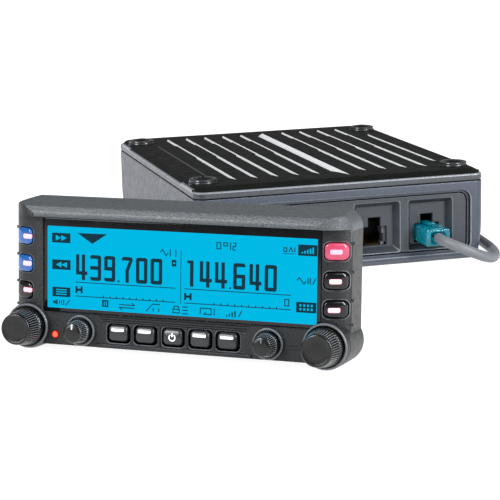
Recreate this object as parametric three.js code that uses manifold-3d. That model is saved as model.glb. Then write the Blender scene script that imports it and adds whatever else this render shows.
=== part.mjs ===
// Mobile transceiver in two pieces: a finned main unit and a remote control head,
// joined by a separation cable. Millimetres, +Z up, main unit's front towards -Y.
import * as THREE from 'three';
import { mergeVertices } from 'three/addons/utils/BufferGeometryUtils.js';
import Module from 'manifold-3d';

const wasm = await Module();
wasm.setup();

// ---------------------------------------------------------------- driving dimensions
const ROW = [50.36, 76.44];          // shift that puts the row origin under the middle of the object
const GAP = 0.3;                     // clearance between touching pieces

// main unit
const MW = 140, MD = 165;            // width and depth of the main unit
const SEAM = 37.3;                   // top of the chassis
const RIM = 40.6;                    // top of the cover's upright rim
const TOP = 42.6;                    // finned top surface
const BOSS = 44.2;                   // top of the four corner bosses
const BOSS_X = 61.5, BOSS_Y = 64.5, BOSS_R = 6.4;
const WALL = 3;
const RECESS = { x0: -63, x1: 63, z0: 3.8, z1: 33.5, r: 5, depth: 1.8 };
const GROOVES = [-56, -46, -35.7, -25.6, -15.6, -5.6, 17.6, 27.7, 37.9, 48, 57.5];
const GROOVE_DEPTH = 0.9, GROOVE_Y0 = -62, GROOVE_Y1 = 67;
const MIC_X = 17, CTRL_X = 43, JACK_Z = 9;
const FAN_X = -25, FAN_Z = 20, FAN_R = 15;

// control head, in its own frame: x right, y into the head, z up the face
const HEAD_POS = [-110.48, -202.83, 2.4];
const HEAD_YAW = THREE.MathUtils.degToRad(-35.59);
const HEAD_TILT = THREE.MathUtils.degToRad(-6.05);
const HW = 68.3;                     // half width
const HTOP = 54.4;                   // top of the hood
const HBACK = 13;                    // depth of the front case
const HREAR = 30;                    // back of the rear case
const KNOB_X = 60.5, KNOB_Z = 6.8;   // encoder knobs
const POT_X = 38.2, POT_Z = 6.2;     // volume knobs
const LCD = { x0: -52.9, x1: 56.5, z0: 14.3, z1: 46.1 };
const SIDE_KEY_X = 63.3, SIDE_KEY_W = 8.0, SIDE_KEY_H = 6.3;
const SIDE_KEY_Z = [41.65, 30.85, 20.3];
const LOW_KEY_X = [-22.5, -11.4, 0, 11, 22], LOW_KEY_Z = 6.1, LOW_KEY_W = 7.6, LOW_KEY_H = 6.4;
const POST_X = 63.9;                 // screw posts of the front case
const HEAD_JACK_X = -22, HEAD_JACK_Z = 5.4;

// separation cable
const CORD_R = 2.5;
const COIL = { x: 42, y: 142, z0: 0.2, h: 20, rIn: 18, rOut: 38 };

// ---------------------------------------------------------------- helpers
function solid(geometry) {
  let g = geometry.index ? geometry.toNonIndexed() : geometry.clone();
  for (const k of Object.keys(g.attributes)) if (k !== 'position') g.deleteAttribute(k);
  g = mergeVertices(g, 1e-4);
  const idx = g.index.array, tri = [];
  for (let i = 0; i < idx.length; i += 3) {
    const [a, b, c] = [idx[i], idx[i + 1], idx[i + 2]];
    if (a !== b && b !== c && a !== c) tri.push(a, b, c);
  }
  return new wasm.Manifold(new wasm.Mesh({
    numProp: 3, vertProperties: Float32Array.from(g.attributes.position.array), triVerts: Uint32Array.from(tri),
  }));
}
function geom(manifold) {
  const m = manifold.getMesh();
  const g = new THREE.BufferGeometry();
  g.setAttribute('position', new THREE.BufferAttribute(Float32Array.from(m.vertProperties), 3));
  g.setIndex(new THREE.BufferAttribute(Uint32Array.from(m.triVerts), 1));
  g.computeVertexNormals();
  return g;
}
const join = (...s) => s.reduce((a, b) => a.add(b));
const cut = (a, ...s) => s.reduce((p, q) => p.subtract(q), a);
const both = (...s) => s.reduce((a, b) => a.intersect(b));
const shape = (pts) => new THREE.Shape(pts.map(([x, y]) => new THREE.Vector2(x, y)));
const along = {
  z: new THREE.Matrix4(),
  y: new THREE.Matrix4().makeRotationX(Math.PI / 2),                       // shape (x, z), grows towards -Y
  x: new THREE.Matrix4().makeBasis(new THREE.Vector3(0, 1, 0), new THREE.Vector3(0, 0, 1), new THREE.Vector3(1, 0, 0)),
};
function prism(axis, pts, lo, hi, opts = {}) {
  const g = new THREE.ExtrudeGeometry(shape(pts), { depth: hi - lo, bevelEnabled: false, steps: 1, ...opts });
  g.applyMatrix4(along[axis]);
  if (axis === 'y') g.translate(0, hi, 0);
  else if (axis === 'z') g.translate(0, 0, lo);
  else g.translate(lo, 0, 0);
  return solid(g);
}
function rrect(x0, x1, y0, y1, r, n = 4) {
  const p = [];
  for (const [cx, cy, a0] of [[x1 - r, y0 + r, -90], [x1 - r, y1 - r, 0], [x0 + r, y1 - r, 90], [x0 + r, y0 + r, 180]])
    for (let i = 0; i <= n; i++) {
      const a = THREE.MathUtils.degToRad(a0 + 90 * i / n);
      p.push([cx + r * Math.cos(a), cy + r * Math.sin(a)]);
    }
  return p;
}
function box(x0, x1, y0, y1, z0, z1) {
  const g = new THREE.BoxGeometry(x1 - x0, y1 - y0, z1 - z0);
  g.translate((x0 + x1) / 2, (y0 + y1) / 2, (z0 + z1) / 2);
  return solid(g);
}
const DETAIL = 0.62;
const seg = (n) => Math.max(8, Math.round(n * DETAIL));
function cylZ(x, y, z0, z1, r, n = 24, rTop = r) {
  const g = new THREE.CylinderGeometry(rTop, r, z1 - z0, seg(n));
  g.rotateX(Math.PI / 2); g.translate(x, y, (z0 + z1) / 2);
  return solid(g);
}
function cylY(x, z, y0, y1, r, n = 24, rFar = r) {
  const g = new THREE.CylinderGeometry(rFar, r, y1 - y0, seg(n));
  g.translate(x, (y0 + y1) / 2, z);
  return solid(g);
}
function latheY(x, z, pts, n = 28) {
  const g = new THREE.LatheGeometry(pts.map(([r, y]) => new THREE.Vector2(r, y)), seg(n));
  g.translate(x, 0, z);
  return solid(g);
}
const mirrorX = (pts) => [...pts, ...pts.map(([x, y]) => [-x, y]).reverse()];
function put(group, name, s, color, roughness, metalness = 0) {
  const g = s.isBufferGeometry ? s : geom(s);
  const m = new THREE.Mesh(g, new THREE.MeshStandardMaterial({ color, roughness, metalness }));
  m.name = name;
  group.add(m);
  return m;
}

const object = new THREE.Group();
object.name = 'mobile_transceiver';
object.position.set(ROW[0], ROW[1], 0);
const main = new THREE.Group();
const head = new THREE.Group();
head.position.set(...HEAD_POS);
head.rotation.set(HEAD_TILT, 0, HEAD_YAW, 'ZYX');
object.add(main, head);

const X = MW / 2, Y = MD / 2;

// ---------------------------------------------------------------- main unit: chassis
const plan = rrect(-X, X, -Y, Y, 5, 4);
let chassis = both(
  prism('z', plan, 0, SEAM),
  prism('y', mirrorX([[X - 3, 0], [X - 1.6, 4], [X - 0.7, 9], [X, 15], [X, SEAM]]), -Y, Y),
  prism('x', [[-Y + 2, 0], [Y - 2, 0], [Y, 3], [Y, SEAM], [-Y, SEAM], [-Y, 2.2]], -X, X));
chassis = cut(chassis, prism('z', rrect(-X + WALL, X - WALL, -Y + 8, Y - WALL, 3, 3), WALL, SEAM + 1));
for (const sx of [-1, 1]) for (const sy of [-1, 1])
  chassis = join(chassis, cylZ(sx * BOSS_X, sy * BOSS_Y, 2, SEAM, 4.2, 16), box(sx * BOSS_X - 4.2 * (sx < 0), sx * BOSS_X + 4.2 * (sx > 0), sy * BOSS_Y - 1.5, sy * BOSS_Y + 1.5, 2, SEAM),
    box(sx * BOSS_X - 0.01 - 6 * (sx < 0), sx * BOSS_X + 0.01 + 6 * (sx > 0), sy * BOSS_Y - 1.5, sy * BOSS_Y + 1.5, 2, SEAM));
for (const sx of [-1, 1]) for (const y of [-45, 55]) chassis = join(chassis, cylZ(sx * 48, y, 2, 19.7, 3, 12));
chassis = cut(chassis, ...[-1, 1].flatMap((sx) => [-1, 1].map((sy) => cylZ(sx * BOSS_X, sy * BOSS_Y, 26, SEAM + 1, 2.1, 12))));
// recessed front bay with an opening for the jack panel
chassis = cut(chassis,
  prism('y', rrect(RECESS.x0, RECESS.x1, RECESS.z0, RECESS.z1, RECESS.r, 4), -Y - 1, -Y + RECESS.depth),
  prism('y', rrect(RECESS.x0 + 1.2, RECESS.x1 - 1.2, RECESS.z0 + 1.2, RECESS.z1 - 1.2, RECESS.r - 1, 4), -Y, -Y + 9));
// rear wall: fan port, aerial socket, supply inlet, two small jacks
chassis = cut(chassis,
  cylY(FAN_X, FAN_Z, Y - WALL - 1, Y + 1, FAN_R, 28),
  cylY(50, 20, Y - WALL - 1, Y + 1, 8.1, 20),
  box(13.7, 30.3, Y - WALL - 1, Y + 1, 12.7, 23.3),
  cylY(-56, 14, Y - WALL - 1, Y + 1, 3.3, 14), cylY(-56, 26, Y - WALL - 1, Y + 1, 3.3, 14));
// sound slots under the loudspeaker
for (let i = -2; i <= 2; i++) chassis = cut(chassis, box(-14, 14, -25 + i * 5 - 0.8, -25 + i * 5 + 0.8, -1, WALL + 1));
put(main, 'main_chassis', chassis, 0x6f757e, 0.55, 0.5);

// ---------------------------------------------------------------- main unit: finned top cover
let cover = both(
  prism('z', plan, SEAM + GAP, TOP),
  prism('y', mirrorX([[X, SEAM], [X, RIM], [X - 3, TOP]]), -Y, Y),
  prism('x', [[-Y, SEAM], [Y, SEAM], [Y, RIM], [Y - 3, TOP], [-Y + 5, TOP], [-Y, RIM]], -X, X));
cover = cut(cover, prism('z', rrect(-X + WALL, X - WALL, -Y + WALL, Y - WALL, 3, 3), SEAM, 39.8));
for (const sx of [-1, 1]) for (const sy of [-1, 1]) cover = join(cover, cylZ(sx * BOSS_X, sy * BOSS_Y, SEAM + GAP, BOSS - 0.6, BOSS_R, 24), cylZ(sx * BOSS_X, sy * BOSS_Y, BOSS - 0.61, BOSS, BOSS_R, 24, BOSS_R - 0.7));
for (const sx of [-1, 1]) for (const sy of [-1, 1]) cover = cut(cover, cylZ(sx * BOSS_X, sy * BOSS_Y, BOSS - 1.6, BOSS + 1, 4.4, 20), cylZ(sx * BOSS_X, sy * BOSS_Y, SEAM - 1, BOSS, 2.1, 12));
for (const x of GROOVES) {
  const y0 = Math.abs(x) > 52 ? (x > 0 ? -50 : -48) : GROOVE_Y0, y1 = Math.abs(x) > 52 ? 50 : GROOVE_Y1;
  cover = cut(cover, prism('y', [[x - 2.6, TOP + 0.2], [x - 0.7, TOP - GROOVE_DEPTH], [x + 0.2, TOP + 0.2]], y0, y1));
}
cover = cut(cover, prism('y', [[2.0, TOP + 0.2], [4.2, TOP - 2], [6.7, TOP + 0.2]], -72, 70));
put(main, 'top_cover', cover, 0x17191a, 0.5, 0.4);

let n = 0;
for (const sy of [-1, 1]) for (const sx of [-1, 1]) {
  const x = sx * BOSS_X, y = sy * BOSS_Y;
  const s = cut(join(cylZ(x, y, BOSS - 1.3, BOSS + 0.2, 3.9, 20), cylZ(x, y, BOSS + 0.19, BOSS + 0.7, 3.9, 20, 2.6), cylZ(x, y, 30, BOSS - 1.2, 1.8, 12)),
    box(x - 2.2, x + 2.2, y - 0.45, y + 0.45, BOSS - 0.6, BOSS + 2), box(x - 0.45, x + 0.45, y - 2.2, y + 2.2, BOSS - 0.6, BOSS + 2));
  put(main, `cover_screw_${++n}`, s, 0x2a2b2d, 0.35, 0.8);
}

// ---------------------------------------------------------------- main unit: jack panel and jacks
const tee = (cx, zb, grow = 0) => [[-6.1 - grow, 0 - grow], [6.1 + grow, 0 - grow], [6.1 + grow, 8.8 + grow], [3 + grow, 8.8 + grow], [3 + grow, 13.2 + grow], [-3 - grow, 13.2 + grow], [-3 - grow, 8.8 + grow], [-6.1 - grow, 8.8 + grow]]
  .map(([x, z]) => [x + cx, z + zb]);
const FACE = -Y + RECESS.depth;      // front of the jack panel
const POCKET = 4;
let panel = prism('y', rrect(RECESS.x0 + 1.5, RECESS.x1 - 1.5, RECESS.z0 + 1.5, RECESS.z1 - 1.5, RECESS.r - 1.3, 4), FACE, FACE + 5.6);
for (const [x0, x1] of [[8, 26], [34.7, 52.2]]) {
  const g = new THREE.ExtrudeGeometry(shape([[x0, 8.3], [x1, 8.3], [x1, 27.6], [x0, 27.6]]), { depth: 6, steps: 1, bevelEnabled: true, bevelThickness: POCKET, bevelSize: 2.2, bevelSegments: 1 });
  g.applyMatrix4(along.y); g.translate(0, FACE, 0);
  panel = cut(panel, solid(g));
}
panel = cut(panel, prism('y', tee(MIC_X, JACK_Z), FACE, FACE + 8), prism('y', tee(CTRL_X, JACK_Z), FACE, FACE + 8));
put(main, 'front_panel', panel, 0x585d64, 0.6, 0.2);

const JACK_Y0 = FACE + 5.9, JACK_Y1 = -58;
for (const [name, cx] of [['mic_jack', MIC_X], ['control_jack', CTRL_X]])
  put(main, name, cut(box(cx - 8, cx + 8, JACK_Y0, JACK_Y1, JACK_Z - 1.6, JACK_Z + 15), prism('y', tee(cx, JACK_Z, 0.2), JACK_Y0 - 1, JACK_Y1 - 3)), 0x15161a, 0.5);

// ---------------------------------------------------------------- main unit: inside
put(main, 'main_pcb', box(-55, 55, -55, 62, 20, 21.6), 0x2f6b3f, 0.6);
put(main, 'rf_power_module', join(box(-6, 50, 26, 46, 21.9, 30), box(-11, 55, 29, 43, 30, 39.3)), 0x8c8f94, 0.4, 0.8);
put(main, 'rf_shield', cut(box(-50, -12, -50, 20, 21.9, 31), box(-49.2, -12.8, -49.2, 19.2, 21, 30.2)), 0xb9bcc0, 0.35, 0.9);
put(main, 'loudspeaker', join(cylZ(0, -25, WALL + GAP, 8, 19, 24), cylZ(0, -25, 7.99, 14, 10, 20)), 0x33353a, 0.5, 0.5);
let frame = cut(prism('y', rrect(FAN_X - 16, FAN_X + 16, FAN_Z - 16, FAN_Z + 16, 3, 3), Y - WALL - 10.3, Y - WALL - GAP), cylY(FAN_X, FAN_Z, Y - 20, Y, FAN_R - 0.4, 28));
const fy = Y - WALL - 10.3;
frame = join(frame, cylY(FAN_X, FAN_Z, fy, fy + 1.4, 5, 16), box(FAN_X - 15.5, FAN_X + 15.5, fy, fy + 1.4, FAN_Z - 1, FAN_Z + 1), box(FAN_X - 1, FAN_X + 1, fy, fy + 1.4, FAN_Z - 15.5, FAN_Z + 15.5));
put(main, 'fan_frame', frame, 0x1d1e20, 0.55);
let rotor = cylY(FAN_X, FAN_Z, fy + 1.7, fy + 9.4, 6, 20);
for (let i = 0; i < 7; i++) {
  const g = new THREE.BoxGeometry(8.6, 0.9, 6.6);
  g.translate(9.6, 0, 0); g.rotateX(0.62); g.rotateX(0);
  const b = new THREE.BoxGeometry(8.6, 5.6, 0.9);
  b.rotateX(0.72); b.translate(9.6, 0, 0); b.rotateY(i * 2 * Math.PI / 7); b.translate(FAN_X, fy + 5.4, FAN_Z);
  rotor = join(rotor, solid(b));
}
put(main, 'fan_rotor', rotor, 0x26282b, 0.5);
let guard = prism('y', rrect(FAN_X - 16, FAN_X + 16, FAN_Z - 16, FAN_Z + 16, 3, 3), Y + GAP, Y + 1.5);
for (const [r0, r1] of [[3.4, 6.6], [8.2, 10.6], [12, 14.4]]) guard = cut(guard, cylY(FAN_X, FAN_Z, Y, Y + 3, r1, 24).subtract(cylY(FAN_X, FAN_Z, Y - 1, Y + 4, r0, 24)).subtract(box(FAN_X - 0.9, FAN_X + 0.9, Y - 1, Y + 4, FAN_Z - 16, FAN_Z + 16)).subtract(box(FAN_X - 16, FAN_X + 16, Y - 1, Y + 4, FAN_Z - 0.9, FAN_Z + 0.9)));
put(main, 'fan_guard', guard, 0x9a9da3, 0.35, 0.9);
put(main, 'antenna_connector', cut(join(prism('y', rrect(39, 61, 9, 31, 2, 3), Y + GAP, Y + 2.3), cylY(50, 20, Y + 2, Y + 15, 7.7, 24), cylY(50, 20, Y - 10, Y + 1, 7.6, 20)), cylY(50, 20, Y + 5, Y + 16, 1.9, 12)), 0xb4b6ba, 0.25, 1);
put(main, 'dc_power_inlet', cut(join(box(14, 30, Y - 9, Y + 7, 13, 23), box(11.5, 32.5, Y + GAP, Y + 2, 10.5, 25.5)), box(16, 19.6, Y - 2, Y + 8, 15, 21), box(24.4, 28, Y - 2, Y + 8, 15, 21)), 0x1a1b1d, 0.5);
for (const [name, z] of [['speaker_jack', 14], ['data_jack', 26]])
  put(main, name, cut(join(cylY(-56, z, Y + GAP, Y + 2.6, 4.2, 16), cylY(-56, z, Y - 9, Y + 1, 3, 14)), cylY(-56, z, Y - 7, Y + 4, 1.75, 12)), 0xa9abb0, 0.3, 0.9);

// ---------------------------------------------------------------- control head: front case
const rad = THREE.MathUtils.degToRad;
const half = [];
for (let i = 0; i <= 8; i++) { const a = rad(229.1 + (389.9 - 229.1) * i / 8); half.push([KNOB_X + 9 * Math.cos(a), KNOB_Z + 9 * Math.sin(a)]); }
for (let i = 0; i <= 4; i++) { const a = rad(90 * i / 4); half.push([HW - 7.5 + 7.5 * Math.cos(a), HTOP - 7.5 + 7.5 * Math.sin(a)]); }
const outline = mirrorX(half);
const shoulder = (off) => mirrorX([[HW + 2, HBACK], [HW + 2, 7 + off], [HW - 0.2, 6 + off], [HW - 1.6, 4.5 + off], [64, 2.7 + off], [60.5, 1.1 + off], [57, off]].map(([x, y]) => [x, y]));
const body = both(prism('y', outline, -6, HBACK), prism('z', shoulder(0), -10, HTOP + 2));
let fcase = body;
// the body's lower corners swell around the encoder knobs
for (const s of [-1, 1]) fcase = join(fcase, cylY(s * KNOB_X, KNOB_Z, 0, HBACK, 9, 28));
// hood over the display
const hood = both(
  prism('y', outline, -6, HBACK),
  prism('x', [[HBACK, 50], [HBACK, HTOP - 0.6], [6, HTOP], [-1.2, HTOP - 0.1], [-3.2, HTOP - 1.4], [-3.4, HTOP - 3], [-3.2, 50]], -HW, HW),
  prism('z', mirrorX([[HW, HBACK], [HW, 5], [HW - 1.6, 2.2], [63, -0.8], [59, -2.8], [55, -3.5]]), 45, HTOP + 2));
fcase = join(fcase, hood);
// hollow
fcase = cut(fcase, both(prism('y', rrect(-HW + 2.3, HW - 2.3, 2, HTOP - 2.4, 5, 3), 2.5, HBACK + 1),
  prism('z', mirrorX([[HW, HBACK + 1], [HW, 9], [HW - 2.3, 7.8], [62, 4.8], [57, 2.5]]), 0, HTOP)));
for (const s of [-1, 1]) fcase = cut(fcase, cylY(s * KNOB_X, KNOB_Z, 2.5, HBACK + 1, 7.3, 20));
for (const s of [-1, 1]) for (const z of [14.5, 47.3]) fcase = join(fcase, cylY(s * POST_X, z, 9, HBACK, 3, 14));
// openings for the window, the keys, the shafts and the lamp
fcase = cut(fcase, prism('y', rrect(LCD.x0 - 1.8, LCD.x1 + 1.8, LCD.z0 - 1.6, LCD.z1 + 2, 1.2, 2), -1, 4));
for (const s of [-1, 1]) for (const z of SIDE_KEY_Z) fcase = cut(fcase, prism('y', rrect(s * SIDE_KEY_X - SIDE_KEY_W / 2 - GAP, s * SIDE_KEY_X + SIDE_KEY_W / 2 + GAP, z - SIDE_KEY_H / 2 - GAP, z + SIDE_KEY_H / 2 + GAP, 1.6, 2), -3, 8.7));
for (const x of LOW_KEY_X) fcase = cut(fcase, prism('y', rrect(x - LOW_KEY_W / 2 - GAP, x + LOW_KEY_W / 2 + GAP, LOW_KEY_Z - LOW_KEY_H / 2 - GAP, LOW_KEY_Z + LOW_KEY_H / 2 + GAP, 1.3, 2), -3, 4));
// the underside of the swollen corners is flat where the head stands
fcase = cut(fcase, prism('x', [[-8, -10], [20, -10], [20, -0.14], [-8, -3.11]], -80, 80));
// collars round the knobs
const COLLAR = 2;
for (const s of [-1, 1]) {
  fcase = join(fcase, cut(cylY(s * KNOB_X, KNOB_Z, -COLLAR, 0.5, 8.6, 28, 8.9), cylY(s * KNOB_X, KNOB_Z, -COLLAR - 1, -0.2, 7.8, 28)));
  fcase = join(fcase, cut(cylY(s * POT_X, POT_Z, -1.4, 0.5, 5.9, 24, 6.2), cylY(s * POT_X, POT_Z, -COLLAR - 1, -0.2, 5.2, 24)));
  fcase = cut(fcase, cylY(s * KNOB_X, KNOB_Z, -4, 3.2, 3.5, 16), cylY(s * POT_X, POT_Z, -4, 3.2, 3, 14));
}
fcase = cut(fcase, cylY(-49.4, 3.9, -4, 4, 1.4, 12));
for (const s of [-1, 1]) for (const z of [14.5, 47.3]) fcase = cut(fcase, cylY(s * POST_X, z, 10.4, HBACK + 1, 1.5, 10));
put(head, 'head_front_case', fcase, 0x45484d, 0.6);

// ---------------------------------------------------------------- control head: rear case and its screws
let rcase = join(prism('y', rrect(-60, 60, 1, 48, 4, 3), HBACK + 1, HREAR), prism('y', rrect(-66, 66, 2, 51.4, 4, 3), HBACK + GAP, HBACK + 2.3));
rcase = cut(rcase, prism('y', rrect(-58, 58, 3, 46, 3, 3), HBACK - 1, HREAR - 2), prism('y', tee(HEAD_JACK_X, HEAD_JACK_Z), HREAR - 4, HREAR + 1),
  ...[-1, 1].flatMap((s) => [14.5, 47.3].map((z) => cylY(s * POST_X, z, HBACK - 1, HBACK + 4, 1.5, 10))));
// two bosses for a bracket on the back
for (const s of [-1, 1]) rcase = join(rcase, cylY(s * 30, 32, HREAR - 1, HREAR + 1.2, 5, 18));
put(head, 'head_rear_case', rcase, 0x303236, 0.65);
n = 0;
for (const s of [-1, 1]) for (const z of [14.5, 47.3])
  put(head, `head_screw_${++n}`, cut(join(cylY(s * POST_X, z, HBACK + 2.6, HBACK + 4.2, 2.5, 16), cylY(s * POST_X, z, 10.8, HBACK + 3, 1.2, 10)),
    box(s * POST_X - 1.5, s * POST_X + 1.5, HBACK + 3.4, HBACK + 6, z - 0.35, z + 0.35), box(s * POST_X - 0.35, s * POST_X + 0.35, HBACK + 3.4, HBACK + 6, z - 1.5, z + 1.5)), 0x55585c, 0.35, 0.9);

// ---------------------------------------------------------------- control head: display, board, jack, lamp
put(head, 'lcd_window', prism('y', rrect(LCD.x0 - 1.5, LCD.x1 + 1.5, LCD.z0 - 1.3, LCD.z1 + 1.7, 1, 2), 0.7, 2.2), 0x0a9fcb, 0.1);
put(head, 'lcd_module', box(LCD.x0 - 2.6, LCD.x1 + 0.3, 2.8, 6.9, LCD.z0 - 2.2, LCD.z1 + 4), 0x9aa3a8, 0.5, 0.3);
put(head, 'head_pcb', cut(prism('y', rrect(-65, 65, 3, 51, 4, 3), 8.9, 10.3), ...[-1, 1].flatMap((s) => [14.5, 47.3].map((z) => cylY(s * POST_X, z, 8, 12, 3.6, 14)))), 0x2f6b3f, 0.6);
put(head, 'head_control_jack', cut(box(HEAD_JACK_X - 8, HEAD_JACK_X + 8, 15, HREAR - 2.3, HEAD_JACK_Z - 1.6, HEAD_JACK_Z + 15), prism('y', tee(HEAD_JACK_X, HEAD_JACK_Z, 0.2), 18.5, HREAR)), 0x15161a, 0.5);
put(head, 'status_led', join(cylY(-49.4, 3.9, -0.3, 2.6, 1.1, 12), cylY(-49.4, 3.9, 2.8, 4, 1.6, 12), cylY(-49.4, 3.9, 2.5, 3, 1.1, 12)), 0xf0402a, 0.3);

// ---------------------------------------------------------------- control head: encoders, knobs and keys
for (const [side, s] of [['left', -1], ['right', 1]]) {
  const kx = s * KNOB_X, px = s * POT_X;
  put(head, `encoder_${side}`, join(box(kx - 5.2, kx + 5.2, 4.4, 8.6, 2.6, 11.2), cylY(kx, KNOB_Z, -8.6, 4.6, 3, 16)), 0x8d9095, 0.35, 0.8);
  put(head, `volume_pot_${side}`, join(box(px - 4.6, px + 4.6, 2.9, 8.6, 2.5, 11), cylY(px, POT_Z, -6, 3, 2.4, 14)), 0x8d9095, 0.35, 0.8);
  const big = latheY(kx, KNOB_Z, [[0, -12.3], [5, -12.3], [5.6, -11.9], [6.2, -10], [7.3, -3.4], [7.3, -0.6], [3.3, -0.6], [3.3, -9], [0, -9]], 30);
  put(head, `dial_knob_${side}`, cut(big, box(kx - 0.5, kx + 0.5, -13, -11.7, KNOB_Z + 2.6, KNOB_Z + 5.4)), 0x17181a, 0.5);
  const small = latheY(px, POT_Z, [[0, -8.8], [3.2, -8.8], [3.7, -8.4], [4.7, -2], [4.7, -0.6], [2.7, -0.6], [2.7, -6.3], [0, -6.3]], 24);
  put(head, `volume_knob_${side}`, cut(small, box(px - 0.4, px + 0.4, -9.5, -8.2, POT_Z + 1.2, POT_Z + 3.6)), 0x17181a, 0.5);
}
const sideColor = { left: [0x1763a8, 0x1763a8, 0x101215], right: [0xef4f72, 0x101215, 0x101215] };
for (const [side, s] of [['left', -1], ['right', 1]]) SIDE_KEY_Z.forEach((z, i) => {
  const cx = s * SIDE_KEY_X;
  const cap = both(prism('y', rrect(cx - SIDE_KEY_W / 2, cx + SIDE_KEY_W / 2, z - SIDE_KEY_H / 2, z + SIDE_KEY_H / 2, 1.4, 2), -3, 7.9),
    prism('z', mirrorX([[HW + 3, 12], [HW + 3, 7], [HW, 4.6], [HW - 1.6, 3.1], [64, 1.5], [60.5, 0.1], [57, -0.8]]), -5, HTOP));
  put(head, `side_key_${side}_${i + 1}`, cap, sideColor[side][i], 0.25);
});
LOW_KEY_X.forEach((x, i) => {
  const cap = join(prism('y', rrect(x - LOW_KEY_W / 2, x + LOW_KEY_W / 2, LOW_KEY_Z - LOW_KEY_H / 2, LOW_KEY_Z + LOW_KEY_H / 2, 1.1, 2), -0.8, 3.2),
    box(x - LOW_KEY_W / 2 - 0.9, x + LOW_KEY_W / 2 + 0.9, 2.9, 3.9, LOW_KEY_Z - 2.6, LOW_KEY_Z + LOW_KEY_H / 2 + 0.5));
  put(head, i === 2 ? 'power_key' : `lower_key_${i < 2 ? i + 1 : i}`, cap, 0x1b1d20, 0.3);
});

// ---------------------------------------------------------------- separation cable
function plugSolid(cx, zb, yFront, yBack, dir) {   // dir -1: the cable leaves towards -Y
  const y0 = Math.min(yFront, yBack), y1 = Math.max(yFront, yBack);
  const tab = dir < 0 ? box(cx - 2.6, cx + 2.6, y1 - 15, y1 - 1, zb + 8, zb + 10) : box(cx - 2.6, cx + 2.6, y0 + 1, y0 + 15, zb + 8, zb + 10);
  return join(box(cx - 5.8, cx + 5.8, y0, y1, zb + 0.6, zb + 8.2), tab);
}
put(main, 'cable_plug_main', plugSolid(CTRL_X, JACK_Z, -69.5, -91.5, -1), 0x138f9c, 0.2);
put(head, 'cable_plug_head', plugSolid(HEAD_JACK_X, HEAD_JACK_Z, 21.5, 43, 1), 0x138f9c, 0.2);

const V = (a) => new THREE.Vector3(...a);
function toMain(p) {                 // head frame to main frame
  return V(p).applyEuler(head.rotation).add(head.position).toArray();
}
const zc = JACK_Z + 4.4, hz = HEAD_JACK_Z + 4.4;
// first stretch: jack, round the front right corner, along the right side, to the coil
const runA = [[CTRL_X, -91.8, zc], [43.03, -94.94, 13.35], [43.92, -98.51, 12.9], [46.24, -101.83, 11.9], [49.63, -104.03, 10.5], [53.23, -104.79, 8.9], [60, -103.2, 5.9], [66.3, -98.6, 3.7], [71.6, -91.2, 2.7],
  [75.3, -81.5, 2.7], [77.9, -68, 2.7], [80.6, -45, 2.7], [84, -15, 2.7], [86, 15, 2.7], [87.5, 45, 2.7], [87.8, 75, 2.7], [86, 98, 2.7], [82.8, 113, 2.7], [79.8, 124.6, 2.7]];
// second stretch: coil, along the left side, to the socket on the back of the head
const j0 = toMain([HEAD_JACK_X, 43.3, hz]), j1 = toMain([HEAD_JACK_X, 50, hz]), j2 = toMain([HEAD_JACK_X, 58, hz - 0.6]);
const runB = [];
for (let i = 0; i <= 6; i++) {       // down the outside of the coil to the surface
  const a = rad(137 + 43 * i / 6), r = COIL.rOut + 3.2;
  runB.push([COIL.x + r * Math.cos(a), COIL.y + r * Math.sin(a), 7.7 + 5 * Math.cos(Math.PI * i / 6)]);
}
runB.push([0.8, 134, 2.7], [-0.6, 124, 2.7], [-6.5, 113.8, 2.7], [-17, 107, 2.7], [-30, 104.3, 2.7], [-46, 102.6, 2.7], [-62, 98, 2.7], [-75, 87.5, 2.7], [-81.5, 72, 2.7], [-83, 52, 2.7], [-83, 30, 2.7], [-83, 5, 2.7], [-83, -20, 2.7], [-83, -45, 2.7],
  [-83, -68, 2.7], [-84, -90, 2.7], [-87, -108, 2.75], [j2[0] + 5.5, j2[1] + 10, 3.6], j2, j1, j0);
function tube(pts, steps) {
  const path = new THREE.CatmullRomCurve3(pts.map(V), false, 'centripetal');
  const ring = [];
  for (let i = 0; i < 8; i++) ring.push([CORD_R * Math.cos(rad(45 * i + 22.5)), CORD_R * Math.sin(rad(45 * i + 22.5))]);
  return solid(new THREE.ExtrudeGeometry(shape(ring), { steps, extrudePath: path, bevelEnabled: false }));
}
put(main, 'cable_run_main', tube(runA, 30), 0x6a6a70, 0.6);
put(main, 'cable_run_head', tube(runB, 34), 0x6a6a70, 0.6);
const ring = new THREE.LatheGeometry([[COIL.rIn, 2], [COIL.rIn + 2, 0], [COIL.rOut - 2, 0], [COIL.rOut, 2], [COIL.rOut, COIL.h - 2], [COIL.rOut - 2, COIL.h], [COIL.rIn + 2, COIL.h], [COIL.rIn, COIL.h - 2], [COIL.rIn, 2]].map(([r, z]) => new THREE.Vector2(r, z)), 24);
ring.rotateX(Math.PI / 2); ring.translate(COIL.x, COIL.y, COIL.z0);
put(main, 'cable_coil', solid(ring), 0x6a6a70, 0.6);

export default object;
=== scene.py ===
"""Mobile transceiver with a separate control head: the looks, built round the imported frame."""
import math
import bmesh
import bpy
from mathutils import Matrix, Vector
from mathutils.geometry import delaunay_2d_cdt


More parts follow.
